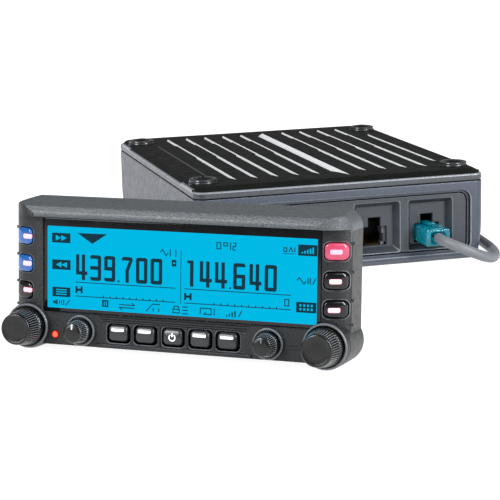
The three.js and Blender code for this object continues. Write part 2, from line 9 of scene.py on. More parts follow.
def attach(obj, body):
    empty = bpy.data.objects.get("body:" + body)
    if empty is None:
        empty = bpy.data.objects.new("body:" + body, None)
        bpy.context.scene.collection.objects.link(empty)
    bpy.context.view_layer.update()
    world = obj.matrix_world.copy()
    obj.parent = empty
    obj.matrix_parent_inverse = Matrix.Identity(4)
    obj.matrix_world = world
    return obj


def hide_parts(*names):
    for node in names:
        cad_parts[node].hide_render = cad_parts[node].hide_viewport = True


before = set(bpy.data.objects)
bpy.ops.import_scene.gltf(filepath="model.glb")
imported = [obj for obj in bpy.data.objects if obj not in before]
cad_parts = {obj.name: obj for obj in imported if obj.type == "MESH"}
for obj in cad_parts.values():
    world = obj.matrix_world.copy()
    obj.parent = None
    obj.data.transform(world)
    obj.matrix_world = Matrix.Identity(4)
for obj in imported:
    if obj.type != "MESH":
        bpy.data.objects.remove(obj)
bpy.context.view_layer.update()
SCENE = bpy.context.scene
SCENE.view_settings.view_transform = "Standard"

# ------------------------------------------------------------------ frames, millimetres to metres
ROW = Vector((50.36, 76.44, 0.0))
HEAD_POS = Vector((-110.48, -202.83, 2.4))
MM = Matrix.Scale(0.001, 4)
MAIN = MM @ Matrix.Translation(ROW)
HEAD = MM @ Matrix.Translation(ROW + HEAD_POS) @ Matrix.Rotation(math.radians(-35.59), 4, "Z") @ Matrix.Rotation(math.radians(-6.05), 4, "X")
HEAD_MM = Matrix.Translation(HEAD_POS) @ Matrix.Rotation(math.radians(-35.59), 4, "Z") @ Matrix.Rotation(math.radians(-6.05), 4, "X")

# ------------------------------------------------------------------ camera
cam_data = bpy.data.cameras.new("camera")
cam_data.lens, cam_data.sensor_width, cam_data.sensor_fit = 124.596, 36.0, "HORIZONTAL"
cam_data.clip_start, cam_data.clip_end = 0.02, 80.0
cam = bpy.data.objects.new("camera", cam_data)
SCENE.collection.objects.link(cam)
cx_, cy_, cf_ = Vector((0.96050848, -0.27740453, -0.02168375)), Vector((0.07866789, 0.1959826, 0.97744677)), Vector((0.26689852, 0.94055172, -0.21006578))
rot = Matrix((cx_, cy_, -cf_)).transposed()
cam.matrix_world = Matrix.Translation(Vector((-254.50992568, -820.66016853, 177.84672204)) * 0.001 + ROW * 0.001) @ rot.to_4x4()
SCENE.camera = cam


# ------------------------------------------------------------------ materials
def lin(h):
    h = h.lstrip("#")
    out = []
    for i in (0, 2, 4):
        c = int(h[i:i + 2], 16) / 255
        out.append(c / 12.92 if c <= 0.04045 else ((c + 0.055) / 1.055) ** 2.4)
    return out


def material(name, color, rough=0.5, metal=0.0, spec=0.5, grain=None, mottle=None, rvar=None, coat=0.0,
             coat_rough=0.1, emit=None, strength=0.0, trans=0.0, ior=None, alpha=1.0, dirt=None):
    """grain (size mm, height), mottle (size mm, share), rvar (size mm, +-): all in the row frame, so the scale is real."""
    m = bpy.data.materials.new(name)
    m.use_nodes = True
    nt = m.node_tree
    b = nt.nodes["Principled BSDF"]
    rgb = lin(color)
    b.inputs["Base Color"].default_value = (*rgb, 1)
    b.inputs["Roughness"].default_value = rough
    b.inputs["Metallic"].default_value = metal
    b.inputs["Specular IOR Level"].default_value = spec
    if coat:
        b.inputs["Coat Weight"].default_value = coat
        b.inputs["Coat Roughness"].default_value = coat_rough
    if emit:
        b.inputs["Emission Color"].default_value = (*lin(emit), 1)
        b.inputs["Emission Strength"].default_value = strength
    if trans:
        b.inputs["Transmission Weight"].default_value = trans
    if ior:
        b.inputs["IOR"].default_value = ior
    if alpha < 1:
        b.inputs["Alpha"].default_value = alpha
    tc = nt.nodes.new("ShaderNodeTexCoord")

    def noise(size, detail=3.0):
        n = nt.nodes.new("ShaderNodeTexNoise")
        n.inputs["Scale"].default_value = 1000.0 / size
        n.inputs["Detail"].default_value = detail
        nt.links.new(tc.outputs["Object"], n.inputs["Vector"])
        return n
    if mottle:
        n = noise(mottle[0])
        r = nt.nodes.new("ShaderNodeValToRGB")
        lo, hi = [c * (1 - mottle[1]) for c in rgb], [min(1, c * (1 + mottle[1])) for c in rgb]
        r.color_ramp.elements[0].position, r.color_ramp.elements[1].position = 0.32, 0.68
        r.color_ramp.elements[0].color, r.color_ramp.elements[1].color = (*lo, 1), (*hi, 1)
        nt.links.new(n.outputs["Fac"], r.inputs["Fac"])
        nt.links.new(r.outputs["Color"], b.inputs["Base Color"])
    if rvar:
        n = noise(rvar[0])
        r = nt.nodes.new("ShaderNodeMapRange")
        r.inputs["From Min"].default_value, r.inputs["From Max"].default_value = 0.3, 0.7
        r.inputs["To Min"].default_value, r.inputs["To Max"].default_value = max(0.02, rough - rvar[1]), min(1, rough + rvar[1])
        nt.links.new(n.outputs["Fac"], r.inputs["Value"])
        nt.links.new(r.outputs["Result"], b.inputs["Roughness"])
    if grain:
        n = noise(grain[0], 2.0)
        bump = nt.nodes.new("ShaderNodeBump")
        bump.inputs["Strength"].default_value = grain[1]
        bump.inputs["Distance"].default_value = grain[0] * 0.00025
        nt.links.new(n.outputs["Fac"], bump.inputs["Height"])
        nt.links.new(bump.outputs["Normal"], b.inputs["Normal"])
    return m


M = {
    "chassis": material("chassis_paint", "#363c48", 0.38, 0.2, 0.5, grain=(0.55, 0.7), mottle=(0.9, 0.15), rvar=(3, 0.06)),
    "rim": material("rim_paint", "#3b3e43", 0.34, 0.2, 0.5, grain=(0.5, 0.5), mottle=(1.2, 0.15), rvar=(2.5, 0.05)),
    # light grey painted on the rim's top chamfer and on the lugs beside the bosses: a painted highlight
    "rim_edge_highlight": material("rim_edge_highlight", "#7f838a", 0.3, 0.3, 0.5, grain=(0.4, 0.3), mottle=(1.5, 0.12), rvar=(2, 0.05)),
    # dark grey, lighter than the cover paint, on the bosses: a painted sheen
    "boss": material("boss_painted_sheen", "#2a2c2f", 0.2, 0.3, 0.6, grain=(0.4, 0.2), mottle=(1.5, 0.25), rvar=(2, 0.04)),
    # light grey painted on the chamfer round the front bay: a painted highlight
    "bay_edge_highlight": material("bay_edge_highlight", "#757a82", 0.3, 0.3, 0.5, grain=(0.4, 0.3), mottle=(1.2, 0.08), rvar=(2, 0.05)),
    "cover": material("cover_paint", "#080a09", 0.55, 0.0, 0.14, grain=(0.5, 0.4), mottle=(7, 0.35), rvar=(4, 0.08)),
    # near-white painted on the steep groove walls of the cover: a painted highlight
    "fin_edge_highlight": material("fin_edge_highlight", "#eceef2", 0.36, 0.35, 0.5, grain=(0.3, 0.15), mottle=(2.5, 0.03), rvar=(2, 0.05)),
    "screw": material("screw_black", "#1b1c1e", 0.28, 0.75, 0.5, grain=(0.3, 0.15), mottle=(1, 0.2), rvar=(1, 0.06)),
    "steel": material("steel", "#b9bcc2", 0.28, 1.0, 0.5, grain=(0.25, 0.12), mottle=(2, 0.06), rvar=(2, 0.07)),
    "panel": material("panel_plastic", "#2b3036", 0.4, 0.1, 0.5, grain=(0.45, 0.5), mottle=(0.8, 0.16), rvar=(3, 0.06)),
    # lighter grey painted on the jack pockets' mouth chamfers: a painted highlight
    "panel_edge_highlight": material("panel_edge_highlight", "#656b73", 0.3, 0.1, 0.5, grain=(0.4, 0.2), mottle=(0.8, 0.1)),
    "black": material("black_plastic", "#0c0d0f", 0.45, 0.0, 0.35, grain=(0.4, 0.2), mottle=(2, 0.3), rvar=(2, 0.08)),
    "socket": material("socket_black", "#050506", 0.5, 0.0, 0.3, grain=(0.3, 0.15), mottle=(1.5, 0.3)),
    "ledge": material("socket_ledge", "#6d7077", 0.45, 0.2, 0.4, grain=(0.3, 0.2), mottle=(1, 0.15)),
    "gold": material("contact_gold", "#c9a55a", 0.3, 1.0, 0.5, grain=(0.2, 0.1), mottle=(1, 0.1)),
    "board": material("board", "#1f5a33", 0.45, 0.0, 0.5, grain=(0.6, 0.3), mottle=(2.2, 0.35), rvar=(2, 0.1)),
    "metal": material("module_metal", "#8d9095", 0.35, 0.9, 0.5, grain=(0.5, 0.2), mottle=(4, 0.1), rvar=(3, 0.08)),
    "cone": material("speaker_cone", "#26272a", 0.7, 0.0, 0.3, grain=(0.7, 0.4), mottle=(2, 0.25)),
    "head": material("head_case", "#17191b", 0.4, 0.0, 0.32, grain=(0.55, 1.0), mottle=(0.6, 0.4), rvar=(2.5, 0.06)),
    # lighter grey on the hood than on the case: a painted sheen where the hood catches the light
    "hood": material("hood_painted_sheen", "#414549", 0.42, 0.0, 0.45, grain=(0.6, 1.0), mottle=(0.65, 0.38), rvar=(2.5, 0.06)),
    # lighter grey painted on the knob collars' lips, the lower key pockets' chamfers and the side key frames: a painted
    # highlight
    "head_edge_highlight": material("head_edge_highlight", "#54585d", 0.28, 0.0, 0.5, grain=(0.4, 0.3), mottle=(0.8, 0.15)),
    # lighter grey painted on the knobs' rib crests: a painted highlight
    "knob_rib_highlight": material("knob_rib_highlight", "#5d6165", 0.25, 0.0, 0.5, grain=(0.4, 0.2), mottle=(0.8, 0.15)),
    "pocket": material("pocket_black", "#08090a", 0.3, 0.0, 0.45, grain=(0.4, 0.15), mottle=(2, 0.3)),
    "rear": material("rear_case", "#2c2e32", 0.6, 0.0, 0.4, grain=(0.55, 0.6), mottle=(0.9, 0.2), rvar=(3, 0.06)),
    "glass": material("window_frame", "#07080b", 0.12, 0.0, 0.4, mottle=(9, 0.25), rvar=(8, 0.03)),
    "lcd": material("display_lit", "#000406", 0.4, 0.0, 0.0, emit="#02b9e6", strength=1.0, mottle=(6, 0.1)),
    "ink": material("display_ink", "#01060a", 0.4, 0.0, 0.05, emit="#06303f", strength=1.0, mottle=(4, 0.2)),
    "ink_soft": material("display_ink_soft", "#01080c", 0.4, 0.0, 0.05, emit="#05475c", strength=1.0, mottle=(4, 0.2)),
    "knob": material("knob_black", "#08090a", 0.24, 0.0, 0.45, grain=(0.4, 0.25), mottle=(1.1, 0.25), rvar=(1.5, 0.06)),
    "pointer": material("pointer_white", "#e8eaec", 0.4, 0.0, 0.5, grain=(0.3, 0.1), mottle=(1, 0.04)),
    "blue": material("key_blue", "#0d4f93", 0.16, 0.0, 0.5, grain=(0.8, 0.05), mottle=(2, 0.10), coat=0.4),
    "gloss": material("key_black", "#050506", 0.16, 0.0, 0.4, grain=(0.8, 0.05), mottle=(2, 0.25), coat=0.15),
    "pink": material("key_red", "#9c3550", 0.2, 0.0, 0.5, grain=(0.8, 0.05), mottle=(2, 0.08), coat=0.3, emit="#ff2f5c", strength=0.07),
    "bar_pink": material("bar_pink", "#f3a0b2", 0.35, 0.0, 0.4, emit="#ff9bb0", strength=0.72, mottle=(1.2, 0.06)),
    "bar_rose": material("bar_rose", "#ff8fa0", 0.35, 0.0, 0.4, emit="#ff8398", strength=0.7, mottle=(1.2, 0.06)),
    "key_grey": material("lower_key", "#222427", 0.3, 0.0, 0.45, grain=(0.7, 0.04), mottle=(2, 0.15), rvar=(2, 0.03)),
    "white": material("key_white", "#f2f3f4", 0.35, 0.0, 0.4, emit="#ffffff", strength=0.35, mottle=(1, 0.03)),
    "led": material("lamp_red", "#ff4a2c", 0.25, 0.0, 0.5, emit="#ff5236", strength=1.2, mottle=(0.8, 0.1)),
    "led_rim": material("lamp_rim", "#8d0f0f", 0.3, 0.0, 0.5, emit="#a00f0c", strength=0.45, mottle=(0.8, 0.2)),
    # the teal plug's shell and core emit faintly: a painted glow, the plug holds no lamp
    "teal": material("plug_teal", "#12a9be", 0.06, 0.0, 0.6, trans=0.8, ior=1.5, mottle=(3, 0.15), emit="#0fb3c9", strength=0.03),
    "teal_core": material("plug_core_painted_glow", "#0b7384", 0.25, 0.0, 0.5, grain=(0.6, 0.2), mottle=(1.5, 0.3), emit="#0a8196", strength=0.15),
    "cable": material("cable_grey", "#5f6267", 0.5, 0.0, 0.4, grain=(0.6, 0.35), mottle=(1.6, 0.08), rvar=(4, 0.06)),
    "strap": material("tie_black", "#17181a", 0.5, 0.0, 0.4, grain=(0.5, 0.5), mottle=(1, 0.25)),
}

# ------------------------------------------------------------------ mesh helpers (millimetres, local frame)
TAU = 2 * math.pi


def obj_from(verts, faces, name="tmp"):
    me = bpy.data.meshes.new(name)
    me.from_pydata([tuple(v) for v in verts], [], faces)
    bm = bmesh.new()
    bm.from_mesh(me)
    bmesh.ops.remove_doubles(bm, verts=bm.verts, dist=1e-5)
    bmesh.ops.dissolve_degenerate(bm, edges=bm.edges, dist=1e-6)
    bmesh.ops.recalc_face_normals(bm, faces=bm.faces)
    bm.to_mesh(me)
    bm.free()
    o = bpy.data.objects.new(name, me)
    SCENE.collection.objects.link(o)
    return o


def loft(loops):
    """Closed solid through 3D loops that have the same number of points."""
    n = len(loops[0])
    verts = [p for l in loops for p in l]
    faces = [(i * n + k, i * n + (k + 1) % n, (i + 1) * n + (k + 1) % n, (i + 1) * n + k) for i in range(len(loops) - 1) for k in range(n)]
    faces += [tuple(range(n))[::-1], tuple(range((len(loops) - 1) * n, len(loops) * n))]
    return obj_from(verts, faces)


def at(axis, pts, t):
    if axis == "y":
        return [(a, t, b) for a, b in pts]
    if axis == "x":
        return [(t, a, b) for a, b in pts]
    return [(a, b, t) for a, b in pts]


def prism(axis, pts, lo, hi):
    return loft([at(axis, pts, lo), at(axis, pts, hi)])


def rr(x0, x1, y0, y1, r, n=7):
    r = max(0.02, min(r, (x1 - x0) / 2 - 1e-3, (y1 - y0) / 2 - 1e-3))
    p = []
    for cx, cy, a0 in ((x1 - r, y0 + r, -90), (x1 - r, y1 - r, 0), (x0 + r, y1 - r, 90), (x0 + r, y0 + r, 180)):
        for i in range(n + 1):
            a = math.radians(a0 + 90 * i / n)
            p.append((cx + r * math.cos(a), cy + r * math.sin(a)))
    return p


def rbox(axis, x0, x1, y0, y1, r, t0, t1, f0=0.0, f1=0.0, n=7, k=4):
    """Rounded-rectangle block along an axis with a fillet (positive) or a flare (negative) at each end."""
    loops = []

    def ring(d, t):
        loops.append(at(axis, rr(x0 + d, x1 - d, y0 + d, y1 - d, max(r - d, 0.05), n), t))
    if f0 > 0:
        for i in range(k + 1):
            a = math.pi / 2 * i / k
            ring(f0 * (1 - math.sin(a)), t0 + f0 * (1 - math.cos(a)))
    elif f0 < 0:
        ring(f0, t0 - 0.6)
        ring(f0, t0)
        ring(0, t0 - f0)
    else:
        ring(0, t0)
    if f1 > 0:
        for i in range(k + 1):
            a = math.pi / 2 * i / k
            ring(f1 * (1 - math.cos(a)), t1 - f1 + f1 * math.sin(a))
    elif f1 < 0:
        ring(0, t1 + f1)
        ring(f1, t1)
        ring(f1, t1 + 0.6)
    else:
        ring(0, t1)
    return loft(loops)


def lathe(axis, cx, cz, prof, n=64, mod=None):
    """Solid of revolution about an axis through (cx, cz). prof: (radius, position); mod(k, r, t) may change a radius."""
    loops = []
    for r, t in prof:
        pts = []
        for i in range(n):
            a = TAU * i / n
            q = mod(i, r, t) if mod else r
            pts.append((cx + max(q, 1e-4) * math.cos(a), cz + max(q, 1e-4) * math.sin(a)))
        loops.append(at(axis, pts, t))
    return loft(loops)


def cyl(axis, cx, cz, t0, t1, r, n=40, f0=0.0, f1=0.0, r1=None):
    r1 = r if r1 is None else r1
    prof = []
    k = 3
    if f0 > 0:
        prof += [(r - f0 * (1 - math.sin(math.pi / 2 * i / k)), t0 + f0 * (1 - math.cos(math.pi / 2 * i / k))) for i in range(k + 1)]
    elif f0 < 0:
        prof += [(r - f0, t0 - 0.6), (r - f0, t0), (r, t0 - f0)]
    else:
        prof.append((r, t0))
    if f1 > 0:
        prof += [(r1 - f1 * (1 - math.cos(math.pi / 2 * i / k)), t1 - f1 + f1 * math.sin(math.pi / 2 * i / k)) for i in range(k + 1)]
    elif f1 < 0:
        prof += [(r1, t1 + f1), (r1 - f1, t1), (r1 - f1, t1 + 0.6)]
    else:
        prof.append((r1, t1))
    return lathe(axis, cx, cz, prof, n)


def box(x0, x1, y0, y1, z0, z1):
    return prism("z", [(x0, y0), (x1, y0), (x1, y1), (x0, y1)], z0, z1)


def merge(objs):
    """Several meshes in one object, not joined as solids."""
    bm = bmesh.new()
    mats = []
    for o in objs:
        idx = []
        for m in o.data.materials:
            if m not in mats:
                mats.append(m)
            idx.append(mats.index(m))
        start = len(bm.faces)
        bm.from_mesh(o.data)
        bm.faces.ensure_lookup_table()
        for f in bm.faces[start:]:
            if idx:
                f.material_index = idx[f.material_index] if f.material_index < len(idx) else 0
    me = bpy.data.meshes.new("tmp")
    bm.to_mesh(me)
    bm.free()
    for m in mats:
        me.materials.append(m)
    for o in objs:
        bpy.data.objects.remove(o)
    o = bpy.data.objects.new("tmp", me)
    SCENE.collection.objects.link(o)
    return o


def evaluated(a):
    bpy.context.view_layer.update()
    dg = bpy.context.evaluated_depsgraph_get()
    me = bpy.data.meshes.new_from_object(a.evaluated_get(dg))
    a.modifiers.clear()
    a.data = me
    return a


def boolean(a, tools, op):
    tools = list(tools)
    for b in tools:
        m = a.modifiers.new("b", "BOOLEAN")
        m.operation, m.solver, m.object = op, "EXACT", b
    evaluated(a)
    if not a.data.polygons:
        raise ValueError("a boolean left nothing")
    for b in tools:
        bpy.data.objects.remove(b)
    return a


def cut(a, *t):
    return boolean(a, t, "DIFFERENCE")


def cutall(a, tools):
    """One cut by several tools that don't touch each other."""
    return boolean(a, [merge(list(tools))], "DIFFERENCE")


def join(a, *t):
    return boolean(a, t, "UNION")


def both(a, *t):
    return boolean(a, t, "INTERSECT")


def bevel(a, w, seg=3, ang=32, clamp=True):
    m = a.modifiers.new("v", "BEVEL")
    m.width, m.segments, m.limit_method, m.angle_limit, m.use_clamp_overlap = w, seg, "ANGLE", math.radians(ang), clamp
    m.miter_outer = "MITER_ARC"
    return evaluated(a)


def paint(a, mats, pick=None):
    a.data.materials.clear()
    for m in mats:
        a.data.materials.append(M[m])
    if pick:
        for p in a.data.polygons:
            p.material_index = pick(p.center, p.normal)
    else:
        for p in a.data.polygons:
            p.material_index = 0
    return a


def piece(a, name, where, body="root", mats=None, pick=None, replaces=(), slot=None, ang=35, wn=True):
    if mats:
        paint(a, mats, pick)
    a.name = name
    a.data.name = name
    a.data.transform(where)
    for p in a.data.polygons:
        p.use_smooth = True
    a.data.set_sharp_from_angle(angle=math.radians(ang))
    if wn:
        w = a.modifiers.new("wn", "WEIGHTED_NORMAL")
        w.keep_sharp = True
    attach(a, body)
    if replaces:
        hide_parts(*replaces)
    return a


def flat(polys, axis, t0, t1, sign=1):
    """Thin solid of the union of 2D polygons."""
    vs, fs = [], []
    for poly in polys:
        area = sum(poly[i][0] * poly[(i + 1) % len(poly)][1] - poly[(i + 1) % len(poly)][0] * poly[i][1] for i in range(len(poly)))
        q = poly if area > 0 else poly[::-1]
        s = len(vs)
        vs += [Vector(p) for p in q]
        fs.append(list(range(s, s + len(q))))
    v2, _, f2, _, _, src = delaunay_2d_cdt(vs, [], fs, 1, 1e-5)
    f2 = [f for f, o in zip(f2, src) if len(o)]
    n = len(v2)
    verts = at(axis, [tuple(p) for p in v2], t0) + at(axis, [tuple(p) for p in v2], t1)
    faces = [tuple(f) for f in f2] + [tuple(i + n for i in reversed(f)) for f in f2]
    seen = {}
    for f in f2:
        for i in range(len(f)):
            e = (f[i], f[(i + 1) % len(f)])
            seen[e] = seen.get(e, 0) + 1
    for (i, j) in seen:
        if (j, i) not in seen:
            faces.append((j, i, i + n, j + n))
    return obj_from(verts, faces)


def bar(x0, y0, x1, y1, w):
    """Straight stroke as a polygon."""
    d = Vector((x1 - x0, y1 - y0))
    d.normalize()
    n = Vector((-d.y, d.x)) * w / 2
    return [(x0 - n.x, y0 - n.y), (x1 - n.x, y1 - n.y), (x1 + n.x, y1 + n.y), (x0 + n.x, y0 + n.y)]


def rect(x0, x1, y0, y1):
    return [(x0, y0), (x1, y0), (x1, y1), (x0, y1)]


# ------------------------------------------------------------------ separation cable
def catmull(pts, per):
    p = [Vector(q) for q in pts]
    out = []
    for i in range(len(p) - 1):
        p1, p2 = p[i], p[i + 1]
        p0 = p[i - 1] if i else 2 * p[0] - p[1]
        p3 = p[i + 2] if i + 2 < len(p) else 2 * p[-1] - p[-2]
        d0, d1, d2 = max((p0 - p1).length ** 0.5, 1e-4), max((p1 - p2).length ** 0.5, 1e-4), max((p2 - p3).length ** 0.5, 1e-4)
        t1 = ((p1 - p0) / d0 - (p2 - p0) / (d0 + d1) + (p2 - p1) / d1) * d1
        t2 = ((p2 - p1) / d1 - (p3 - p1) / (d1 + d2) + (p3 - p2) / d2) * d1
        for k in range(per):
            t = k / per
            out.append(p1 + t1 * t + (-3 * p1 + 3 * p2 - 2 * t1 - t2) * t * t + (2 * p1 - 2 * p2 + t1 + t2) * t ** 3)
    out.append(p[-1].copy())
    return out


COIL_X, COIL_Y, COIL_OUT = 42.0, 142.0, 38.0


def coil_points():
    r0, d, per = 35.5, 5.0, 4493 / 4
    r1 = r0 - d * per / 360
    th, z, out = 2.0, 2.7, []
    for layer in range(4):
        n = 150
        for k in range(n):
            s = k / n
            r = (r0 + (r1 - r0) * s) if layer % 2 == 0 else (r1 + (r0 - r1) * s)
            a = math.radians(th)
            out.append(Vector((COIL_X + r * math.cos(a), COIL_Y + r * math.sin(a), z)))
            th += per / n
        if layer < 3:
            r = r1 if layer % 2 == 0 else r0
            for k in range(12):
                a = math.radians(th)
                out.append(Vector((COIL_X + r * math.cos(a), COIL_Y + r * math.sin(a), z + d * (0.5 - 0.5 * math.cos(math.pi * k / 12)))))
                th += 7.5
            z += d
    t0 = th % 360
    for k in range(13):
        a = math.radians(t0 + (137 - t0) * k / 12)
        ph = math.radians(90 * (1 - k / 12))
        r = r0 + 5.7 * math.cos(ph)
        out.append(Vector((COIL_X + r * math.cos(a), COIL_Y + r * math.sin(a), 12.7 + 5 * math.sin(ph))))
    return out


RUN_A = [(43, -91.8, 13.4), (43.03, -94.94, 13.35), (43.92, -98.51, 12.9), (46.24, -101.83, 11.9), (49.63, -104.03, 10.5), (53.23, -104.79, 8.9), (60, -103.2, 5.9), (66.3, -98.6, 3.7), (71.6, -91.2, 2.7),
         (75.3, -81.5, 2.7), (77.9, -68, 2.7), (80.6, -45, 2.7), (84, -15, 2.7), (86, 15, 2.7), (87.5, 45, 2.7), (87.8, 75, 2.7), (86, 98, 2.7), (82.8, 113, 2.7), (79.8, 124.6, 2.7)]
j0, j1, j2 = Vector((-102.710, -154.171, 7.582)), Vector((-98.832, -148.753, 6.876)), Vector((-94.239, -142.335, 5.436))
RUN_B = []
for i in range(7):
    a_ = math.radians(137 + 43 * i / 6)
    RUN_B.append((COIL_X + (COIL_OUT + 3.2) * math.cos(a_), COIL_Y + (COIL_OUT + 3.2) * math.sin(a_), 7.7 + 5 * math.cos(math.pi * i / 6)))
RUN_B += [(0.8, 134, 2.7), (-0.6, 124, 2.7), (-6.5, 113.8, 2.7), (-17, 107, 2.7), (-30, 104.3, 2.7), (-46, 102.6, 2.7), (-62, 98, 2.7), (-75, 87.5, 2.7), (-81.5, 72, 2.7), (-83, 52, 2.7), (-83, 30, 2.7), (-83, 5, 2.7),
          (-83, -20, 2.7), (-83, -45, 2.7), (-83, -68, 2.7), (-84, -90, 2.7), (-87, -108, 2.75), (j2.x + 5.5, j2.y + 10, 3.6), tuple(j2), tuple(j1), tuple(j0)]
_coil = coil_points()
_key = [Vector(q) for q in RUN_A] + _coil[2:-1:4] + [Vector(q) for q in RUN_B]
_raw = catmull(_key, 6)
# even steps along the route
_s = [0.0]
for i in range(1, len(_raw)):
    _s.append(_s[-1] + (_raw[i] - _raw[i - 1]).length)
CABLE_LENGTH = _s[-1]
STEP = 2.2
n_steps = int(CABLE_LENGTH / STEP)
PATH = []
j = 0
for i in range(n_steps + 1):
    u = CABLE_LENGTH * i / n_steps
    while j < len(_s) - 2 and _s[j + 1] < u:
        j += 1
    f = (u - _s[j]) / max(_s[j + 1] - _s[j], 1e-9)
    PATH.append(_raw[j].lerp(_raw[j + 1], min(1, max(0, f))))


def tube(path, r, sides=16, start_round=0.0):
    loops = []
    t_prev = (path[1] - path[0]).normalized()
    up = Vector((0, 0, 1))
    n = (up - t_prev * up.dot(t_prev)).normalized()
    for i, p in enumerate(path):
        a, b = path[max(0, i - 1)], path[min(len(path) - 1, i + 1)]
        t = (b - a).normalized()
        n = (n - t * n.dot(t)).normalized()
        m = t.cross(n)
        loops.append([tuple(p + (n * math.cos(TAU * k / sides) + m * math.sin(TAU * k / sides)) * r) for k in range(sides)])
    return loft(loops)


cable = tube(PATH, 2.4, 16)
piece(cable, "separation_cable", MAIN, mats=["cable"], replaces=["cable_run_main", "cable_coil", "cable_run_head"], slot="cable_grey", ang=60, wn=False)


def tie():
    """Strap round the coil's section."""
    ang = math.radians(62)
    c, s = math.cos(ang), math.sin(ang)
    t = (-s, c)
    inner, outer = rr(27.4, 38.3, 0.22, 20.35, 2.2, 5), rr(26.9, 38.75, 0.03, 20.85, 2.5, 5)
    w = 3.2
    verts, faces = [], []
    n = len(inner)
    for prof, off in ((inner, -w), (outer, -w), (outer, w), (inner, w)):
        for r, z in prof:
            verts.append((COIL_X + r * c + t[0] * off, COIL_Y + r * s + t[1] * off, z))
    for i in range(4):
        j_ = (i + 1) % 4
        for k in range(n):
            q = (k + 1) % n
            faces.append((i * n + k, i * n + q, j_ * n + q, j_ * n + k))
    return obj_from(verts, faces)


coil_tie = piece(tie(), "cable_tie", MAIN, mats=["strap"], slot="black_plastic")

# ------------------------------------------------------------------ main unit
X, Y, SEAM, RIM, TOP, BOSS = 70.0, 82.5, 37.3, 40.6, 42.6, 44.2
BX, BY, BR = 61.5, 64.5, 6.4
FACE = -Y + 1.8
RX0, RX1, RZ0, RZ1, RRAD = -63.0, 63.0, 3.8, 33.5, 5.0
MIC_X, CTRL_X, JACK_Z = 17.0, 43.0, 9.0


def plan(side, front, rear, r, n=10):
    return rr(-X + side, X - side, -Y + front, Y - rear, r, n)


def chassis():
    loops = []
    for z, s, f, r, c in ((0, 3.9, 2.9, 2.9, 2.6), (0.25, 3.3, 2.25, 2.3, 3.1), (0.8, 2.85, 1.7, 1.8, 3.5), (2.2, 2.2, 0.25, 0.9, 4.2), (3.0, 1.9, 0.02, 0.1, 4.5), (4.2, 1.55, 0, 0, 4.7), (6, 1.15, 0, 0, 4.8), (9, 0.65, 0, 0, 4.9), (12, 0.25, 0, 0, 5), (15, 0.05, 0, 0, 5),
                          (18, 0, 0, 0, 5), (36.7, 0, 0, 0, 5), (37.1, 0.16, 0.16, 0.16, 4.85), (37.3, 0.6, 0.6, 0.6, 4.5)):
        loops.append(at("z", plan(s, f, r, c), z))
    a = loft(loops)
    a = cut(a, rbox("z", -X + 3, X - 3, -Y + 8, Y - 3, 3, 3, SEAM + 1))
    posts = []
    for sx in (-1, 1):
        for sy in (-1, 1):
            posts.append(cyl("z", sx * BX, sy * BY, 2, SEAM - 0.05, 4.2, 24))
            posts.append(box(min(sx * BX, sx * (BX + 6)), max(sx * BX, sx * (BX + 6)), sy * BY - 1.5, sy * BY + 1.5, 2, SEAM - 0.1))
    a = join(a, *posts)
    a = cutall(a, [cyl("z", sx * BX, sy * BY, 26, SEAM + 1, 2.1, 20) for sx in (-1, 1) for sy in (-1, 1)])
    a = cut(a, rbox("y", RX0, RX1, RZ0, RZ1, RRAD, -Y - 0.001, -Y + 1.8, f0=-0.5, n=8))
    a = cut(a, rbox("y", RX0 + 1.2, RX1 - 1.2, RZ0 + 1.2, RZ1 - 1.2, RRAD - 1, -Y + 1, -Y + 9, n=8))
    holes = [cyl("y", -25, 20, Y - 4, Y + 0.001, 15, 56, f1=-0.4), cyl("y", 50, 20, Y - 4, Y + 1, 8.1, 40),
             box(13.7, 30.3, Y - 4, Y + 1, 12.7, 23.3), cyl("y", -56, 14, Y - 4, Y + 1, 3.3, 24), cyl("y", -56, 26, Y - 4, Y + 1, 3.3, 24)]
    holes += [rbox("z", -14, 14, -25 + i * 5 - 0.8, -25 + i * 5 + 0.8, 0.79, -0.001, 4, f0=-0.25, n=4) for i in range(-2, 3)]
    a = cutall(a, holes)
    return a


def chassis_pick(c, n):
    if abs(c.x) < 66.9 and -79.9 < c.y < 79.4 and c.z > 3.0:
        return 1
    # the bay's top and right walls are painted black: a painted shadow under the overhang
    if -82.3 < c.y < -80.6 and abs(n.y) < 0.5 and RX0 - 0.1 < c.x < RX1 + 0.1 and RZ0 - 0.1 < c.z < RZ1 + 0.1 and (n.z < -0.3 or n.x < -0.3):
        return 1
    # the chamfer round the bay's mouth gets light grey as a painted highlight
    if c.y < -82.0 and 0.25 < abs(n.y) < 0.95 and RX0 - 0.7 < c.x < RX1 + 0.7 and RZ0 - 0.7 < c.z < RZ1 + 0.7:
        return 2
    return 0


piece(chassis(), "chassis_shell", MAIN, mats=["chassis", "black", "bay_edge_highlight"], pick=chassis_pick,
      replaces=["main_chassis"], slot="chassis_paint", ang=28)

GROOVES = [-56, -46, -35.7, -25.6, -15.6, -5.6, 17.6, 27.7, 37.9, 48, 57.5]


def groove(x, stations):
    """V groove with a shallow left wall and a steep right wall. stations: (y, width factor, depth factor)."""
    loops = []
    for y, w, d in stations:
        # the steep wall keeps its top edge in line
        loops.append([(x - 1.75 * w, y, TOP + 0.3), (x - 1.75 * w, y, TOP), (x - 0.5 * w, y, TOP - 1.1 * d), (x + 0.25, y, TOP), (x + 0.25, y, TOP + 0.3)])
    return loft(loops)


